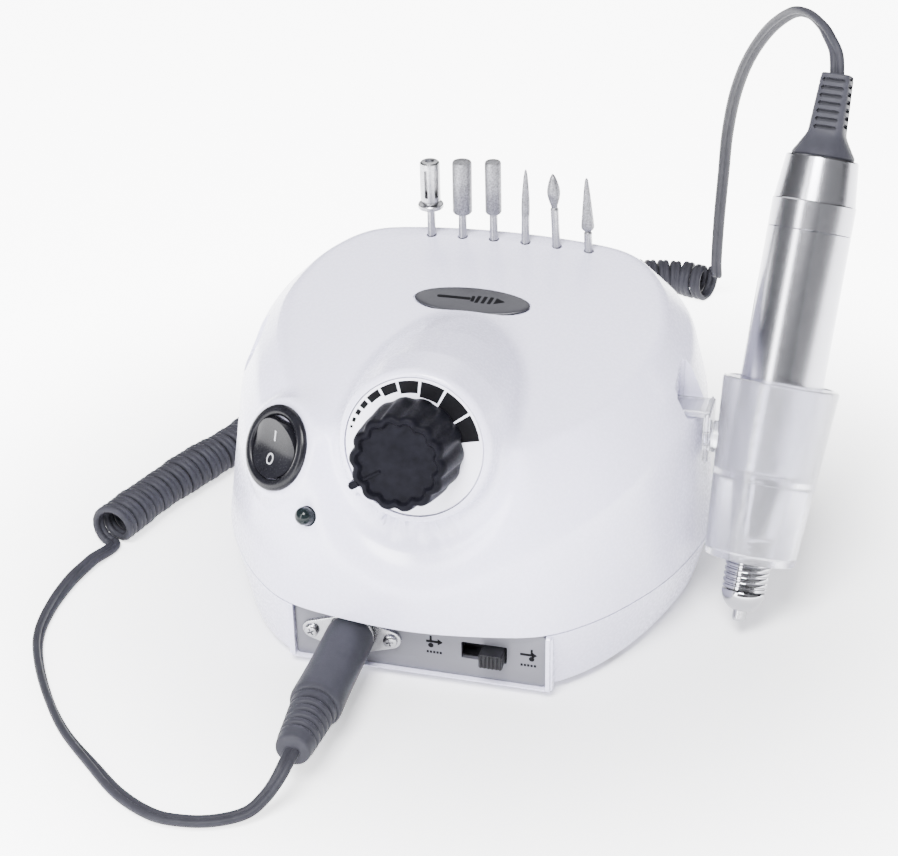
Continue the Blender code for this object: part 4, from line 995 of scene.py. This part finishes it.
# ---------------------------------------------------------------- power rocker and lamp
def make_rocker():
    ring = [(8.6, 1.2), (8.6, -6.0), (0, -6.0), (0, -13), (9.7, -13), (9.7, 0.2), (11.5, 0.2),
            (11.6, 0.4), (11.6, 0.9), (11.4, 1.35), (11.0, 1.7), (10.4, 1.93), (9.9, 2.0),
            (9.3, 1.95), (8.9, 1.7), (8.65, 1.45)]
    piece("rocker_ring", turned(ring, 96), BLACK_GLOSS, "unit", ROCKER,
          ROCKER_AXIS, ["rocker_bezel"], smooth=40)
    tilt = Matrix.Rotation(radians(7), 4, "X")
    wide = [-8.1 + 16.2 * k / 14 for k in range(15)]
    deep = [-7.9 + 15.8 * k / 30 for k in range(31)]
    bm = bmesh.new()
    top = [[bm.verts.new((x, y, 1.5 + 1.3 * (abs(y) / 7.3) ** 1.7 - 0.3 * (x / 8.1) ** 6))
            for y in deep] for x in wide]
    for i in range(len(wide) - 1):
        for j in range(len(deep) - 1):
            bm.faces.new((top[i][j], top[i + 1][j], top[i + 1][j + 1], top[i][j + 1]))
    rim = ([top[0][j] for j in range(len(deep))] + [row[-1] for row in top[1:]]
           + [top[-1][j] for j in range(len(deep) - 2, -1, -1)]
           + [row[0] for row in reversed(top[1:-1])])
    base = [bm.verts.new((v.co.x, v.co.y * 0.96, -3.4)) for v in rim]
    for i in range(len(rim)):
        j = (i + 1) % len(rim)
        bm.faces.new((rim[j], rim[i], base[i], base[j]))
    bm.faces.new(base)
    paddle = raw_object("rocker_paddle", bm, BLACK_GLOSS, ROCKER, ROCKER_AXIS)
    paddle.matrix_world = paddle.matrix_world @ tilt
    # a ball around the pivot, so that the paddle clears the ring at every tilt
    ball = [(0, -5)] + [((8.45 ** 2 - z * z) ** 0.5, z) for z in range(-5, 6)] + [(0, 5)]
    round_off = raw_object("cutter", turned(ball, 96), HOLE, ROCKER, ROCKER_AXIS)
    cut(paddle, [round_off], "INTERSECT")
    dress(paddle, "power_rocker", ["power_rocker"], 0.22)
    bar = rounded_rectangle(0.55, 3.3, 0.2, (0, 0), 3)
    print_on("rocker_on_mark", [bar], MARK, "power_rocker", ROCKER, ROCKER_AXIS,
             0, tilt @ Matrix.Translation(Vector((0, 3.6, 1.93)) * MM)
             @ Matrix.Rotation(radians(8.5), 4, "X"))
    loop = turned(((1.05, -0.25), (1.5, -0.25), (1.5, 0.035), (1.05, 0.035)), 36)
    bmesh.ops.scale(loop, vec=(0.85, 1.1, 1), verts=loop.verts)
    ring_mark = raw_object("rocker_off_mark", loop, MARK, ROCKER, ROCKER_AXIS)
    ring_mark.matrix_world = (ring_mark.matrix_world @ tilt
                              @ Matrix.Translation(Vector((0, -3.1, 1.87)) * MM)
                              @ Matrix.Rotation(radians(-7), 4, "X"))
    dress(ring_mark, "power_rocker")


def make_lamp():
    dome = [(0, -8), (2.45, -8), (2.45, 0.2)]
    dome += [(2.45 * cos(pi / 2 * k / 8), 0.2 + 2.15 * sin(pi / 2 * k / 8)) for k in range(1, 8)]
    piece("indicator_lens", turned(dome + [(0, 2.35)], 48), LENS, "unit", LAMP,
          LAMP_AXIS, ["power_lamp"])


make_rocker()
make_lamp()


# ---------------------------------------------------------------- speed knob
def make_knob():
    dial = [(6.7, -1.35), (18.0, -1.35), (18.15, -1.2), (18.15, -0.5), (18.0, -0.38),
            (17.7, -0.35), (6.7, -0.35)]
    piece("dial_disc", turned(dial, 120), DIAL_WHITE, "unit", DIAL, DIAL_AXIS,
          ["dial_plate"])
    edges = (170.6, 165.2, 157.4, 149.2, 139.5, 124.5, 107.5, 87.4, 64.0, 36.5, 10.8)
    inner = (16.75, 16.55, 16.25, 15.95, 15.5, 14.9, 14.2, 13.3, 12.6, 12.0)
    gaps = (1.5, 1.9, 1.6, 1.4, 1.3, 1.2, 1.2, 1.2, 1.2, 1.2)
    blocks = [sector(r, 17.45, b + g, a - g, 16)
              for a, b, r, g in zip(edges, edges[1:], inner, gaps)]
    print_on("speed_scale", blocks, INK, "unit", DIAL, DIAL_AXIS, -0.35)
    piece("control_nut", turned(((4.7, 0.6), (6.4, 0.6), (6.4, -1.2), (4.7, -1.2)), 6), STEEL,
          "unit", DIAL, DIAL_AXIS, ["pot_nut"])

    lobes, count = 14, 14 * 16
    levels = [(0.8, 0.985, 0.35), (1.1, 1.0, 0.5), (3.4, 0.998, 1.0), (11.6, 0.957, 1.0),
              (14.2, 0.933, 0.95), (15.1, 0.922, 0.9), (15.7, 0.900, 0.85), (16.1, 0.870, 0.8),
              (16.25, 0.835, 0.8), (16.2, 0.800, 0.9), (15.8, 0.775, 1.0), (15.3, 0.762, 1.0),
              (15.05, 0.745, 1.0), (15.0, 0.60, 0.6), (15.08, 0.40, 0.2), (15.15, 0.20, 0.0)]
    bm = bmesh.new()
    rings = []
    for height, share, depth in levels:
        ring = []
        for i in range(count):
            angle = 2 * pi * i / count
            scallop = (0.5 - 0.5 * cos(lobes * angle)) ** 1.6
            radius = 13.6 * share - 0.95 * depth * scallop
            ring.append(bm.verts.new((radius * cos(angle), radius * sin(angle), height)))
        rings.append(ring)
    knob = raw_object("speed_knob_cap", skinned(bm, rings), KNOB, DIAL, DIAL_AXIS)
    nub = block((3.0, 1.9, 6.5), (12.75, 0, 13.0), 0.35)
    line = block((7.0, 0.75, 0.5), (8.6, 0, 15.3), 0.15)
    turn = Matrix.Rotation(radians(212), 4, "Z")
    cut(knob, [cutter(moved(nub, turn), DIAL, DIAL_AXIS),
               cutter(moved(line, turn), DIAL, DIAL_AXIS)], "UNION")
    cut(knob, [cutter(rod(7.0, -2, 3.2, 32), DIAL, DIAL_AXIS),
               cutter(rod(3.1, 0, 12.4, 24), DIAL, DIAL_AXIS)])
    dress(knob, "speed_knob", ["speed_knob"])
    piece("control_shaft", rod(2.9, -12.1, 12.0, 32), STEEL, "speed_knob", DIAL,
          DIAL_AXIS, ["pot_shaft"])


make_knob()


# ---------------------------------------------------------------- badge
def make_badge():
    rim = [(0, -0.45), (0.97, -0.45), (0.985, -0.2), (0.985, 0.1), (0.97, 0.25), (0.945, 0.32)]
    dome = [(0.945 * cos(pi / 2 * k / 10), 0.32 + 0.28 * sin(pi / 2 * k / 10))
            for k in range(1, 10)]
    badge = raw_object("oval_badge", oval(*BADGE_HALF, rim + dome + [(0, 0.6)]), BADGE)
    lay_on_roof(badge)
    dress(badge, "unit", ["name_badge"])
    # the emblem is a plain drill bit lying along the badge
    shank = rounded_rectangle(9.6, 1.1, 0.35, (-5.2, 0.35), 3)
    collar = rounded_rectangle(1.0, 2.5, 0.35, (0.2, 0.35), 3)
    cells = [[(a, -1.25), (b, -1.2), (b + 0.5, 1.85), (a + 0.5, 1.9)]
             for a, b in ((0.9, 1.9), (2.7, 3.7), (4.5, 5.5))]
    tip = [(6.3, -1.05), (8.9, 0.05), (9.3, 0.35), (8.9, 0.65), (6.8, 1.7)]
    shapes = [shank, collar] + cells + [tip]
    bm = merge([prism(o, -0.2, 0.0) for o in shapes])
    bmesh.ops.subdivide_edges(bm, edges=bm.edges[:], cuts=3, use_grid_fill=True)
    for v in bm.verts:
        share = (v.co.x / BADGE_HALF[0]) ** 2 + (v.co.y / BADGE_HALF[1]) ** 2
        v.co.z += 0.32 + 0.28 * max(1 - share / 0.893, 0) ** 0.5 + 0.03
    emblem = raw_object("badge_emblem", bm, INK)
    lay_on_roof(emblem)
    dress(emblem, "unit")


make_badge()


# ---------------------------------------------------------------- bits
def barrel_head(r):
    return ((1.175, 16.1), (r - 0.35, 15.9), (r, 15.4), (r, 0.6), (r - 0.2, 0.15), (r - 0.6, 0),
            (0, 0))


BIT_HEADS = {                            # radius, depth below the bit's top
    "mandrel": ((1.175, 14.6), (3.5, 14.3), (3.7, 14.0), (3.7, 13.2), (3.5, 12.95), (2.25, 12.8),
                (2.25, 12.2), (2.75, 12.0), (2.9, 11.8), (2.9, 0.9), (2.8, 0.4), (2.4, 0.05),
                (1.3, 0), (1.3, 6), (0, 6)),
    "barrel": barrel_head(2.8),
    "slim_barrel": barrel_head(2.35),
    "needle": ((1.175, 14), (1.25, 12), (1.15, 9), (0.95, 6), (0.65, 2.5), (0.35, 0.6),
               (0.15, 0.1), (0, 0)),
    "flame": ((1.175, 10.8), (0.85, 10.2), (1.0, 9.6), (1.5, 8.0), (1.85, 6.4), (1.9, 5.4),
              (1.75, 4.2), (1.35, 2.6), (0.8, 1.1), (0.3, 0.2), (0, 0)),
    "cone": ((1.175, 16.8), (0.8, 16.3), (1.3, 15.9), (1.8, 15.3), (1.9, 14.7), (1.7, 12.5),
             (1.3, 8.0), (0.8, 3.0), (0.45, 0.6), (0.2, 0.1), (0, 0)),
}
BIT_TOPS = {"mandrel": 108.4, "barrel": 109.2, "slim_barrel": 110.0, "needle": 108.4,
            "flame": 107.8, "cone": 107.4}
BIT_LEAN = {"flame": 3.4, "cone": 2.6, "mandrel": 0.5, "slim_barrel": 0.5}      # degrees


def make_bits():
    for i, (kind, top) in enumerate(BIT_TOPS.items()):
        t = top - BIT_SEAT_Z
        shank = [(0, 0.4), (0.9, 0.4), (1.175, 0.7)]
        place = Vector((BIT_FIRST_X + i * BIT_STEP, BIT_Y, BIT_SEAT_Z))
        head = [(radius, t - depth) for radius, depth in BIT_HEADS[kind]]
        steel = piece(f"{kind}_shank", turned(shank + [head[0], (0, head[0][1])], 36), BIT_STEEL,
                      "bit_" + kind, place, None)
        look = BIT_STEEL if kind == "mandrel" else GRIT
        tool = raw_object(f"{kind}_head", turned([(0, head[0][1] - 0.6),
                                                  (1.17, head[0][1] - 0.6)] + head, 48),
                          look, place)
        if kind == "mandrel":
            slots = []
            for k in range(3):
                arm = block((9, 1.0, 8.6), (0, 0, t - 6.3), 0.2)
                slots.append(cutter(moved(arm, Matrix.Rotation(radians(20 + 60 * k), 4, "Z")),
                                    place))
            cut(tool, slots)
        dress(tool, "bit_" + kind, ["bit_" + kind])
        for obj in (steel, tool):
            pivot = at(*place) + Vector((0, 0, 8.5)) * MM
            turn = Matrix.Rotation(radians(-BIT_LEAN.get(kind, 0.0)), 4, "Y")
            obj.matrix_world = (Matrix.Translation(pivot) @ turn
                                @ Matrix.Translation(-pivot) @ obj.matrix_world)


make_bits()


# ---------------------------------------------------------------- handpiece
def pen(name, profile, look, body, nodes, sides=96, smooth=35):
    return piece(name, turned(profile, sides), look, body, TIP, PEN_AXIS, nodes, smooth)


def make_handpiece():
    pen("satin_barrel", ((8.95, 41.4), (10.5, 41.4), (11.0, 41.65), (11.22, 42.2), (11.25, 42.6),
                         (11.25, 107.85), (11.1, 107.97), (9.75, 107.97), (9.75, 56.0),
                         (8.95, 54.8)), SATIN, "handpiece",
        ["handpiece_barrel"], 128)
    pen("end_cap", ((3.3, 125.4), (8.2, 125.4), (9.75, 118), (9.75, 108.05), (11.1, 108.05),
                    (11.25, 108.2), (11.25, 115.6), (11.0, 115.9), (9.75, 127.4), (9.5, 127.8),
                    (3.3, 127.8)), SATIN, "handpiece", ["handpiece_cap"], 128, 25)
    pen("front_cone", ((2.4, 8.9), (4.4, 8.9), (4.4, 24.9), (6.5, 24.9), (6.65, 25.1), (7.2, 30),
                       (7.9, 36), (8.55, 40.6), (8.6, 41.2), (8.6, 54.4), (5.6, 54.4), (5.6, 46),
                       (2.4, 46)), CHROME, "handpiece", ["front_housing"], 96, 30)
    pen("chrome_nose", ((2.35, 3.3), (3.3, 3.3), (3.6, 3.45), (4.5, 4.3), (5.25, 5.3), (5.8, 6.5),
                        (6.05, 7.6), (6.08, 8.3), (5.95, 8.6), (2.35, 8.6)), CHROME, "handpiece",
        ["nose_cone"], 80, 40)
    sleeve = [(4.7, 9.0), (5.9, 9.0), (6.15, 9.2), (6.15, 9.9)]
    for k in range(9):
        low = 10.1 + 1.55 * k
        edge = 6.2 + 0.045 * k
        sleeve += [(edge - 0.45, low), (edge - 0.45, low + 0.3), (edge, low + 0.6),
                   (edge, low + 1.2), (edge - 0.1, low + 1.35)]
    sleeve += [(6.6, 24.2), (6.65, 24.5), (6.5, 24.75), (4.7, 24.75)]
    pen("ribbed_grip", sleeve, CHROME, "grip_sleeve", ["grip_sleeve"], 80)
    pen("collet", ((1.25, 0), (1.6, 0), (1.8, 0.3), (2.0, 0.9), (2.0, 56.6), (0, 56.6), (0, 12),
                   (1.25, 12)), STEEL, "spindle", ["spindle_collet"], 40)
    boot()


def boot():
    sections = [(3.0, 3.0, 124.2, 2), (3.0, 3.0, 127.9, 2), (8.3, 8.3, 127.95, 2),
                (8.5, 8.5, 128.3, 2), (8.3, 8.3, 129.0, 2), (7.5, 7.4, 130.2, 2.1),
                (6.6, 6.4, 131.6, 2.4), (5.7, 5.4, 133.0, 2.8), (5.05, 4.75, 134.2, 3.4),
                (4.85, 4.55, 135.0, 4.0), (4.15, 3.8, 149.3, 4.0), (4.05, 3.7, 149.9, 4.0),
                (3.75, 3.4, 150.2, 4.0)]
    bm = bmesh.new()
    sides = 72
    rings = []
    for half_x, half_y, height, power in sections:
        ring = []
        for i in range(sides):
            c, s = cos(2 * pi * i / sides), sin(2 * pi * i / sides)
            size = (abs(c) ** power + abs(s) ** power) ** (-1 / power)
            ring.append(bm.verts.new((half_x * size * c, half_y * size * s, height)))
        rings.append(ring)
    shape = raw_object("slotted_boot", skinned(bm, rings), PLUG_GREY, TIP, PEN_AXIS, 30)
    slots = []
    for side in (-1, 1):
        for k in range(7):
            z = 135.7 + 2.1 * k
            slots.append(cutter(block((6.2, 3.0, 1.15), (0, side * (4.8 - 0.11 * k), z), 0.3, 2),
                                TIP, PEN_AXIS))
            slots.append(cutter(block((3.0, 5.6, 1.15), (side * (5.2 - 0.1 * k), 0, z + 1.05),
                                      0.3, 2), TIP, PEN_AXIS))
    cut(shape, slots)
    dress(shape, "handpiece", ["handpiece_boot"])


make_handpiece()


# ---------------------------------------------------------------- side holder
PEG = Vector((70.6, -0.6, 51.0))


def make_holder():
    cup_low, cup_high = 17.5, 66.5
    cup = raw_object("clear_cup", turned(
        ((7.4, cup_low), (12.0, cup_low), (12.4, cup_low + 0.15), (12.55, cup_low + 0.6),
         (15.86, cup_high - 0.9), (15.75, cup_high - 0.3), (15.3, cup_high), (14.6, cup_high),
         (14.2, cup_high - 0.3), (14.05, cup_high - 0.9), (12.5, 41.9), (12.2, 41.2),
         (9.4, 41.2), (9.2, 41.0), (9.2, 39.6), (9.4, 39.4), (12.0, 39.4), (12.25, 38.8),
         (10.9, cup_low + 2.4), (10.4, cup_low + 1.8), (7.4, cup_low + 1.8)), 128),
        FROST, TIP, PEN_AXIS, 40)
    peg = cutter(turned(((0, -3.6), (1.9, -3.6), (1.9, -0.9), (4.3, -0.9), (4.5, -0.6),
                         (4.5, 1.2), (4.3, 1.5), (0, 1.5)), 40), PEG, (1, 0, 0))
    cut(cup, [peg], "UNION")
    dress(cup, "unit", ["holder_cup"])
    plate = raw_object("clear_bracket", block((1.8, 12, 15), (0, 0, 0), 0.6), FROST,
                       Vector((68.5, -0.6, 52.8)))
    tongue = cutter(block((12.6, 8.6, 2.0), (0, 0, 0), 0.4), Vector((63.0, 0, 59.2)))
    cut(plate, [tongue], "UNION")
    cut(plate, [cutter(rod(2.2, -6, 6, 40), PEG, (1, 0, 0))])
    dress(plate, "unit", ["holder_bracket"])


make_holder()


# ---------------------------------------------------------------- back and underside
def make_back():
    fuse = Vector((-20, REAR_Y, REAR_Z))
    piece("fuse_socket", turned(((3.2, 1.6), (3.4, 1.8), (6.7, 1.8), (7.0, 1.5), (7.0, 0.05),
                                 (5.4, 0.05), (5.4, -16), (0, -16), (0, -14.5), (3.2, -14.5)), 64),
          BLACK, "unit", fuse, BACK, ["fuse_holder"])
    cap = raw_object("fuse_knob", turned(((0, -11), (2.9, -11), (2.9, 2.0), (5.5, 2.0),
                                          (5.7, 2.2), (5.7, 4.2), (5.5, 4.7), (5.0, 5.0),
                                          (0, 5.0)), 64), BLACK, fuse, BACK)
    notches = [cutter(block((8.5, 1.2, 2.0), (0, 0, 5.0)), fuse, BACK)]
    for k in range(16):
        notch = block((0.8, 0.6, 2.4), (5.8, 0, 3.6))
        notches.append(cutter(moved(notch, Matrix.Rotation(2 * pi * k / 16, 4, "Z")), fuse, BACK))
    cut(cap, notches)
    dress(cap, "fuse_cap", ["fuse_cap"])
    jack = Vector((1, REAR_Y, REAR_Z))
    body = raw_object("foot_control_socket", block((11, 9, 10), (0, 0, -9.4), 0.3), BLACK, jack,
                      BACK)
    bush = turned(((0, -5.0), (3.6, -5.0), (3.6, 0.05), (5.2, 0.05), (5.2, 1.5), (4.9, 1.9),
                   (0, 1.9)), 56)
    cut(body, [cutter(bush, jack, BACK)], "UNION")
    cut(body, [cutter(rod(1.85, -13, 5, 32), jack, BACK)])
    dress(body, "unit", ["foot_pedal_jack"])
    make_slide_switch(("mode_switch", "mode_button"), 20, REAR_Y - 4.3, REAR_Z, 1,
                      -SLIDE_TRAVEL / 2, ("mode_switch_body", "mode_slider"), "mode_slider")
    piece("cable_gland", turned(((2.7, -9.5), (5.6, -9.5), (5.6, -7.9), (4.3, -7.7), (4.3, 0.05),
                                 (6.4, 0.05), (6.6, 0.3), (6.6, 1.6), (6.1, 2.4), (4.9, 3.9),
                                 (4.5, 5.0), (4.2, 6.8), (4.0, 7.0), (2.7, 7.0)), 56), BLACK,
          "unit", GLAND, BACK, ["mains_gland"])
    hand = [rounded_rectangle(0.9, 2.6, 0.3, (-1.5 + k * 1.0, 0.5), 2) for k in range(4)]
    hand.append(rounded_rectangle(4.0, 2.2, 0.8, (0.0, -1.2), 3))
    print_on("hand_mark", hand, MARK, "unit", (11.2, REAR_Y, REAR_Z + 0.3), BACK, 0)
    pedal = [[(-2.2, -1.4), (2.2, -1.4), (2.2, -0.8), (-2.2, 0.9), (-2.2, 0.3)]]
    print_on("pedal_mark", pedal, MARK, "unit", (27.7, REAR_Y, REAR_Z + 0.3), BACK, 0)


def make_underside():
    for i, (x, y) in enumerate(FOOT_PLACES):
        foot = [(0, 0), (4.1, 0), (4.4, 0.1), (4.9, 0.7), (5.0, 1.1), (5.0, 3.1), (0, 3.1)]
        piece(f"foot_{i + 1}", turned(foot, 48), FOOT, "unit", Vector((x, y, 0)), None,
              [f"rubber_foot_{i + 1}"])
    for i, (x, y) in enumerate(SCREW_POSTS):
        place, down = Vector((x, y, 6.3)), Vector((0, 0, -1))
        screw = raw_object(f"base_screw_{i + 1}", screw_head(3.0, 2.1, 1.25, 15), STEEL, place,
                           down)
        cross_recess(screw, place, down, 2.1, 3.0, 0.3 + 0.7 * i)
        dress(screw, "unit", [f"casing_screw_{i + 1}"])


make_back()
make_underside()


# ---------------------------------------------------------------- light and floor
def make_stage():
    floor = bpy.data.meshes.new("floor")
    floor.from_pydata([(-30, -30, 0), (30, -30, 0), (30, 30, 0), (-30, 30, 0)], [], [(0, 1, 2, 3)])
    look = finish("pale_floor_painted_shadow", (0.90, 0.90, 0.91), 0.7, tint=0.004, tint_size=200, grain=8,
                  bump=0.01)
    shader = look.node_tree.nodes["Principled BSDF"]
    shader.inputs["Emission Color"].default_value = (1, 1, 1, 1)
    nodes, links = look.node_tree.nodes, look.node_tree.links
    # The floor glows, and the glow is painted dim near the unit: a painted shadow round its base,
    # faint within 0.06 m of the unit's centre and rising to full glow by 0.24 m
    spot = nodes.new("ShaderNodeTexCoord")
    away = nodes.new("ShaderNodeVectorMath")
    away.operation = "LENGTH"
    floor_glow_painted_shadow = nodes.new("ShaderNodeMapRange")
    floor_glow_painted_shadow.interpolation_type = "SMOOTHSTEP"
    floor_glow_painted_shadow.inputs["From Min"].default_value = 0.06
    floor_glow_painted_shadow.inputs["From Max"].default_value = 0.24
    floor_glow_painted_shadow.inputs["To Min"].default_value = 0.35
    floor_glow_painted_shadow.inputs["To Max"].default_value = 7.5
    links.new(spot.outputs["Object"], away.inputs[0])
    links.new(away.outputs["Value"], floor_glow_painted_shadow.inputs["Value"])
    links.new(floor_glow_painted_shadow.outputs["Result"], shader.inputs["Emission Strength"])
    floor.materials.append(look)
    obj = bpy.data.objects.new("floor", floor)
    bpy.context.scene.collection.objects.link(obj)
    world = bpy.data.worlds.new("studio")
    bpy.context.scene.world = world
    world.use_nodes = True
    nodes, links = world.node_tree.nodes, world.node_tree.links
    sky = nodes["Background"]
    sky.inputs["Color"].default_value = (0.97, 0.97, 1.0, 1)
    where = nodes.new("ShaderNodeTexCoord")
    lean = nodes.new("ShaderNodeVectorMath")
    lean.operation = "DOT_PRODUCT"
    lean.inputs[1].default_value = (-0.2, -0.6, 0.77)
    span = nodes.new("ShaderNodeMapRange")
    span.inputs["From Min"].default_value = -0.3
    span.inputs["From Max"].default_value = 1.0
    span.inputs["To Min"].default_value = 0.06
    span.inputs["To Max"].default_value = 0.34
    links.new(where.outputs["Generated"], lean.inputs[0])
    links.new(lean.outputs["Value"], span.inputs["Value"])
    links.new(span.outputs["Result"], sky.inputs["Strength"])
    for name, place, power, wide, high in (("key", (-20, -640, 960), 40, 0.45, 0.45),
                                           ("strip", (-480, -820, 340), 12, 0.2, 0.9),
                                           ("fill", (750, -500, 400), 0.8, 0.9, 0.9),
                                           ("back", (-150, 700, 800), 7, 0.8, 0.8)):
        data = bpy.data.lights.new(name, "AREA")
        data.shape = "RECTANGLE"
        data.energy = power
        data.size, data.size_y = wide, high
        lamp = bpy.data.objects.new(name, data)
        bpy.context.scene.collection.objects.link(lamp)
        lamp.location = at(*place)
        aim = at(0, 0, 40) - lamp.location
        lamp.rotation_mode = "QUATERNION"
        lamp.rotation_quaternion = aim.to_track_quat("-Z", "Y")


make_stage()
